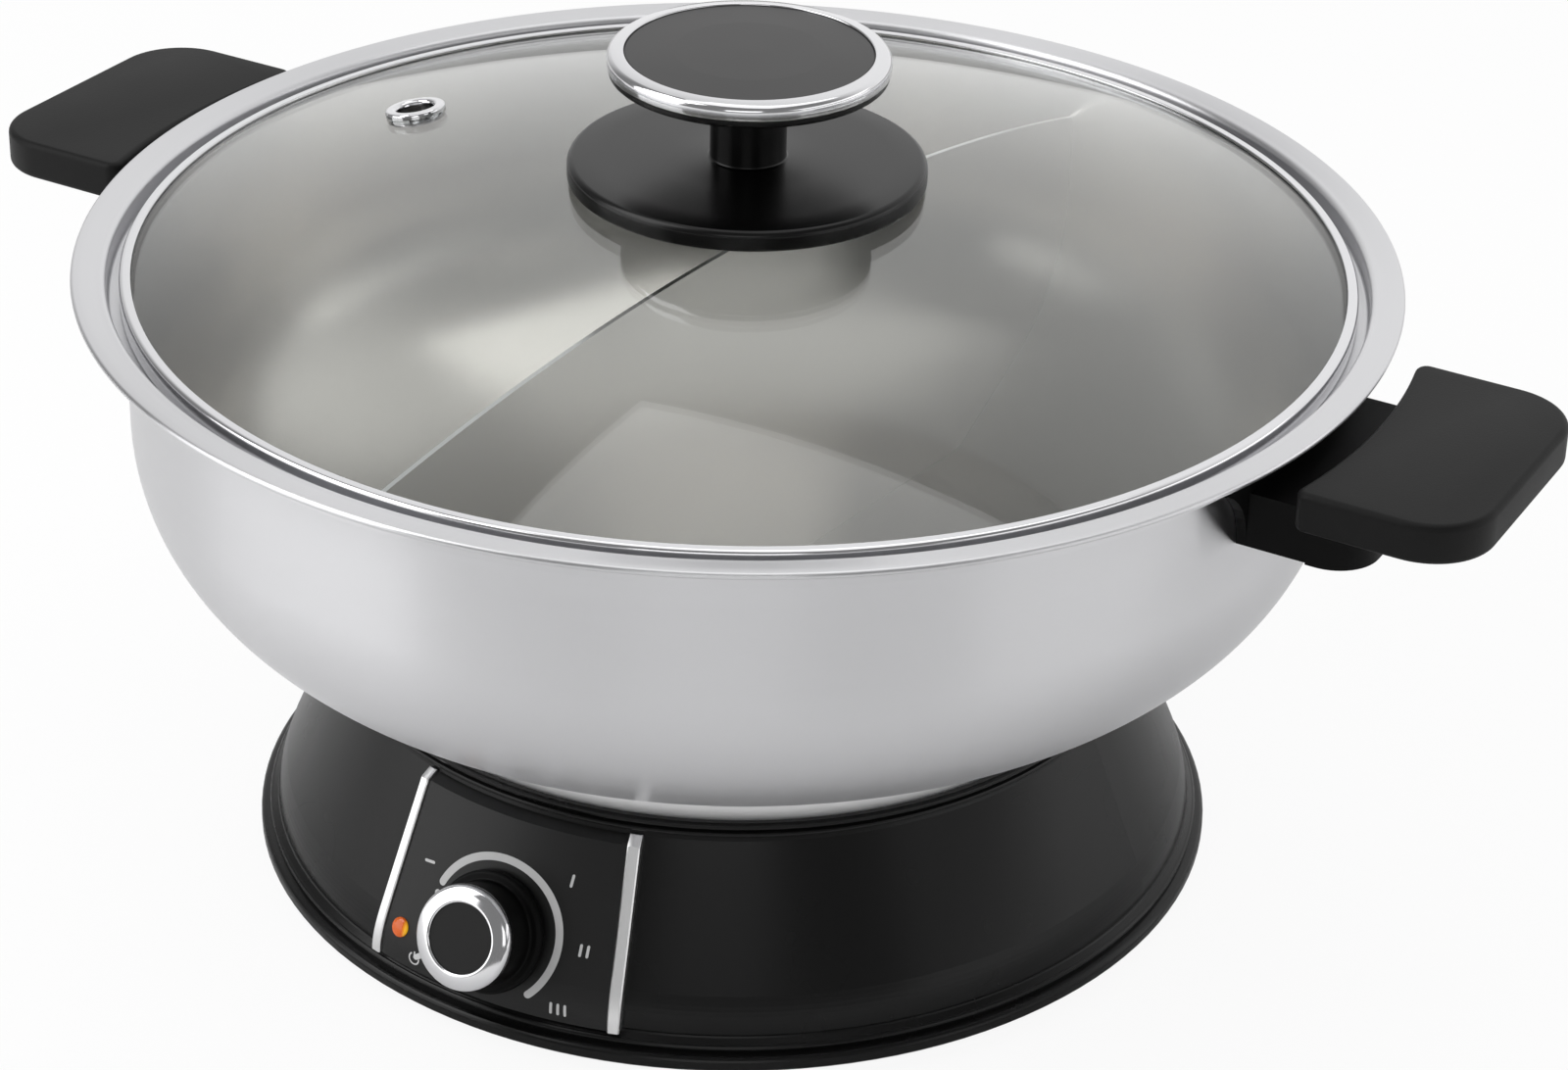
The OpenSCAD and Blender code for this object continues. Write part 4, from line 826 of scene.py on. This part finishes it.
def housing_radius(z):
    """Radius of the housing under the panel at a height."""
    if z > CONE_FOOT[1]:
        return CONE_FOOT[0] - (z - CONE_FOOT[1]) * math.tan(CONE_LEAN)
    return skirt_radius(z)


def on_panel(u, w, rise=INK):
    """Point in metres at a distance round and up the panel from the dial's centre, in millimetres."""
    z = DIAL_CENTRE.z / MM + w * math.cos(CONE_LEAN)
    r = housing_radius(z) + PANEL_PROUD + rise * math.cos(CONE_LEAN)
    turn = u / r
    return Vector((r * math.sin(turn), -r * math.cos(turn), z + rise * math.sin(CONE_LEAN))) * MM


print("the panel leans", round(math.degrees(CONE_LEAN), 1), "degrees")

# %% [markdown]
# ## Printed marks
# Pad printing lays a film of light grey ink a few hundredths of a millimetre thick. Each mark is a flat
# ribbon with round ends that is bent onto the panel's face.

# %% A printed stroke
def stroke(name, line, width):
    """A printed stroke with round ends along a line of (u, w) points."""
    points = [Vector(p) for p in line]
    count = len(points)
    left, right = [], []
    for i, point in enumerate(points):
        along = (points[min(i + 1, count - 1)] - points[max(i - 1, 0)]).normalized()
        side = Vector((-along.y, along.x)) * width / 2
        left.append(point + side)
        right.append(point - side)
    loops = list(zip(left, right))
    first = (points[1] - points[0]).normalized()
    last = (points[-1] - points[-2]).normalized()
    for share in (0.5, 0.87, 0.99):
        half = width / 2 * math.sqrt(1 - share ** 2)
        for end, along in ((0, -first), (-1, last)):
            middle = points[end] + along * width / 2 * share
            across = Vector((-last.y, last.x)) * half if end else Vector((-first.y, first.x)) * half
            pair = (middle + across, middle - across)
            loops.insert(len(loops) if end else 0, pair)
    flat = [on_panel(*p) for pair in loops for p in pair]
    return mesh_object(name, flat, faces=[
        (2 * i, 2 * i + 1, 2 * i + 3, 2 * i + 2) for i in range(len(loops) - 1)])


def straight(start, end, pieces=4):
    """A line of points from one place to another."""
    return [(start[0] + (end[0] - start[0]) * i / pieces, start[1] + (end[1] - start[1]) * i / pieces)
            for i in range(pieces + 1)]


print("a stroke follows a line of (u, w) points")

# %% [markdown]
# ### The dial's scale
# An arc with a dot shows the way the heat rises. The settings are one, two and three strokes, and the usual
# power sign stands at off.

# %% Marks on the panel
PRINT_R = 17.5
BAR = 0.7                 # width of most strokes
# Each mark is a line, measured in the photograph, and a width in millimetres.
marks = {
    "mark_arc": (arc((0, 0), PRINT_R, 158, -45, 80), 1.9),
    "mark_dot": (straight((-16.95, 3.5), (-16.85, 3.5), 1), 1.75),
    "mark_minus": (straight((-22.5, 9.5), (-20.0, 9.8)), BAR),
    "mark_one": (straight((17.45, 17.9), (17.3, 15.4)), BAR),
    "mark_power_bar": (straight((-20.1, -12.6), (-20.1, -14.0)), 0.45),
    "mark_power_ring": (arc((-20.1, -14.3), 1.5, 130, 410, 24), 0.42)}
for i in range(2):
    marks[f"mark_two_{i}"] = (straight((22.98 + 1.78 * i, 2.2), (23.03 + 1.78 * i, -0.2)), BAR)
for i in range(3):
    marks[f"mark_three_{i}"] = (straight((18.5 + 1.75 * i, -13.05), (18.65 + 1.8 * i, -15.5)), BAR)
for name, (line, width) in marks.items():
    mark = stroke(name, line, width)
    mark.data.materials.append(mark_white)
    finished(mark, "base", "white_mark")

# %% [markdown]
# ## The trim strips
# Each strip is a bright bar along the panel's edge. It follows the panel down to the skirt, and its upper end
# folds back over the bead of the housing. It is a stack of cross sections along that path. On the right a
# narrow black edge of the panel lies between the face and the strip.

# %% Strips
STRIP_PROUD = 0.75
STRIP_EDGE = 0.3
STRIP_BEND_Z = 52.6       # where the upper end starts to fold back
STRIP_STEPS = 24
# Degrees from the dial's side at the top and at the foot, height over the panel, and finish
BARS = {
    "trim_strip_left": (-16.4, -15.05, -16.4, -15.05, STRIP_PROUD, strip_steel),
    "trim_strip_right": (15.9, 17.6, 15.8, 17.2, STRIP_PROUD, strip_steel),
    "panel_edge_right": (15.1, 16.0, 15.1, 15.9, 0.0, panel_black)}


def section(low, high, start, end):
    """Cross section of a strip between two angles, from its back (radius, height) to its face."""
    edge = STRIP_EDGE / high[0]
    line = [(low, start), ((high[0] - STRIP_EDGE, high[1]), start), (high, start + edge),
            (high, (start + end) / 2), (high, end - edge), ((high[0] - STRIP_EDGE, high[1]), end), (low, end)]
    return [(r * math.sin(a), -r * math.cos(a), z) for (r, z), a in line]


for name, (top_from, top_to, foot_from, foot_to, proud, finish) in BARS.items():
    rings = [section((NECK_R + 0.15, NECK_Z + 0.05), (NECK_R + 0.1 + proud, NECK_Z + 0.5),
                     math.radians(top_from), math.radians(top_to))] if proud else []
    for i in range(STRIP_STEPS + 1):
        share = i / STRIP_STEPS
        z = STRIP_BEND_Z - (STRIP_BEND_Z - SKIRT[1]) * share
        face = housing_radius(z)
        rings.append(section((face - 0.2, z - 0.1), (face + PANEL_PROUD + proud, z),
                             math.radians(top_from + (foot_from - top_from) * share),
                             math.radians(top_to + (foot_to - top_to) * share)))
    nodes = [name] if proud else []
    finished(stack(name + "_bar", rings, finish), "base", "polished_steel" if proud else "panel_black", *nodes)

# %% [markdown]
# ## The floor
# The floor is plain and pale. For the camera most of it glows white, as a lit studio floor does, and the rest
# takes the object's shadow.

# %% Floor
FLOOR_SIZE = 8
FLOOR_GLOW = 0.92
floor_material, tree, shader = new_material("studio_floor", "#f2f2f2", 0.9, Specular_IOR_Level=0.1)
rays = add(tree, "ShaderNodeLightPath")
lift = add(tree, "ShaderNodeEmission", {"Color": colour("#ffffff"), "Strength": 1.0})
share = math_node(tree, "MULTIPLY", rays.outputs["Is Camera Ray"], FLOOR_GLOW)
mixed = add(tree, "ShaderNodeMixShader", {0: share, 1: shader.outputs[0], 2: lift.outputs[0]})
tree.links.new(mixed.outputs[0], tree.nodes["Material Output"].inputs["Surface"])
bpy.ops.mesh.primitive_plane_add(size=FLOOR_SIZE)
floor = bpy.context.object
floor.name = "floor"
floor.data.materials.append(floor_material)
print("floor", FLOOR_SIZE, "m")

# %% [markdown]
# ## The room
# The camera sees white. What metal and glass see is a room with a white wall at the back, which dims softly
# towards the front, so that the steel and the chrome have something dark to mirror.

# %% World
WALL_DIRECTION = (-0.08, 0.99, 0.1)
WALL_FROM, WALL_FULL = 0.1, 0.9        # share of that direction at which the wall starts and is full
ROOM_LEVEL, WALL_LEVEL = 0.25, 1.05
world = bpy.data.worlds.new("studio")
bpy.context.scene.world = world
world.use_nodes = True
tree = world.node_tree
background = tree.nodes["Background"]
rays = add(tree, "ShaderNodeLightPath")
towards_wall = add(tree, "ShaderNodeVectorMath", {
    0: add(tree, "ShaderNodeTexCoord").outputs["Generated"], 1: WALL_DIRECTION}, operation="DOT_PRODUCT")
level = add(tree, "ShaderNodeMapRange", {
    0: towards_wall.outputs["Value"], 1: WALL_FROM, 2: WALL_FULL, 3: ROOM_LEVEL, 4: WALL_LEVEL},
    interpolation_type="SMOOTHSTEP")
room = add(tree, "ShaderNodeBackground", {"Color": colour("#ffffff"), "Strength": level.outputs[0]})
background.inputs["Color"].default_value = colour("#ffffff")
background.inputs["Strength"].default_value = 1.0
seen = add(tree, "ShaderNodeMixShader", {
    0: rays.outputs["Is Camera Ray"], 1: room.outputs[0], 2: background.outputs[0]})
tree.links.new(seen.outputs[0], tree.nodes["World Output"].inputs["Surface"])
print("room from", ROOM_LEVEL, "to", WALL_LEVEL)

# %% [markdown]
# ## Soft boxes
# Each soft box is set by how bright it looks, so a larger one gives more light but no brighter reflection.

# %% A soft box
def softbox(name, place, target, size, radiance):
    """A rectangular area lamp that faces a point and looks as bright as its radiance says."""
    lamp = bpy.data.lights.new(name, "AREA")
    lamp.shape = "RECTANGLE"
    lamp.size, lamp.size_y = size
    lamp.energy = radiance * math.pi * size[0] * size[1]
    box = bpy.data.objects.new(name, lamp)
    bpy.context.collection.objects.link(box)
    box.location = place
    box.rotation_euler = (Vector(target) - Vector(place)).to_track_quat("-Z", "Y").to_euler()


def around(bearing, distance, height):
    """A place at a bearing in degrees from the dial's side, positive to the right."""
    turn = math.radians(bearing)
    return (distance * math.sin(turn), -distance * math.cos(turn), height)


print("soft boxes face a point and have a size in metres")

# %% [markdown]
# ### The six soft boxes
# Bearings are in degrees from the dial's side, and distances, heights and sizes are in metres.

# %% Soft boxes
CENTRE = (0, 0, 0.1)      # a point inside the pot
# A key light from the left, which draws the bright band on the bowl with the large box below it.
softbox("key", around(-50, 1.1, 1.25), CENTRE, (1.0, 1.0), 3.0)
softbox("left", around(-47, 1.5, 0.5), CENTRE, (1.3, 1.0), 1.7)
# On the right a low strip and light on the floor brighten the bowl, but hardly the base.
softbox("right", around(103, 1.6, 0.07), (0, 0, 0.07), (2.1, 0.13), 1.5)
softbox("floor wash", around(100, 0.95, 0.4), around(100, 0.8, 0), (1.2, 0.5), 1.1)
# A small box near the camera lifts the panel, the strips and the front of the knob's bezel.
softbox("front", around(26, 1.6, 0.66), (0, 0, 0.05), (0.8, 0.5), 1.5)
# Light from above for the rim, the grips and the knob.
softbox("overhead", (0, 0.2, 1.9), CENTRE, (1.6, 1.6), 1.1)

# %% Finish
bpy.context.scene.view_settings.view_transform = "Standard"
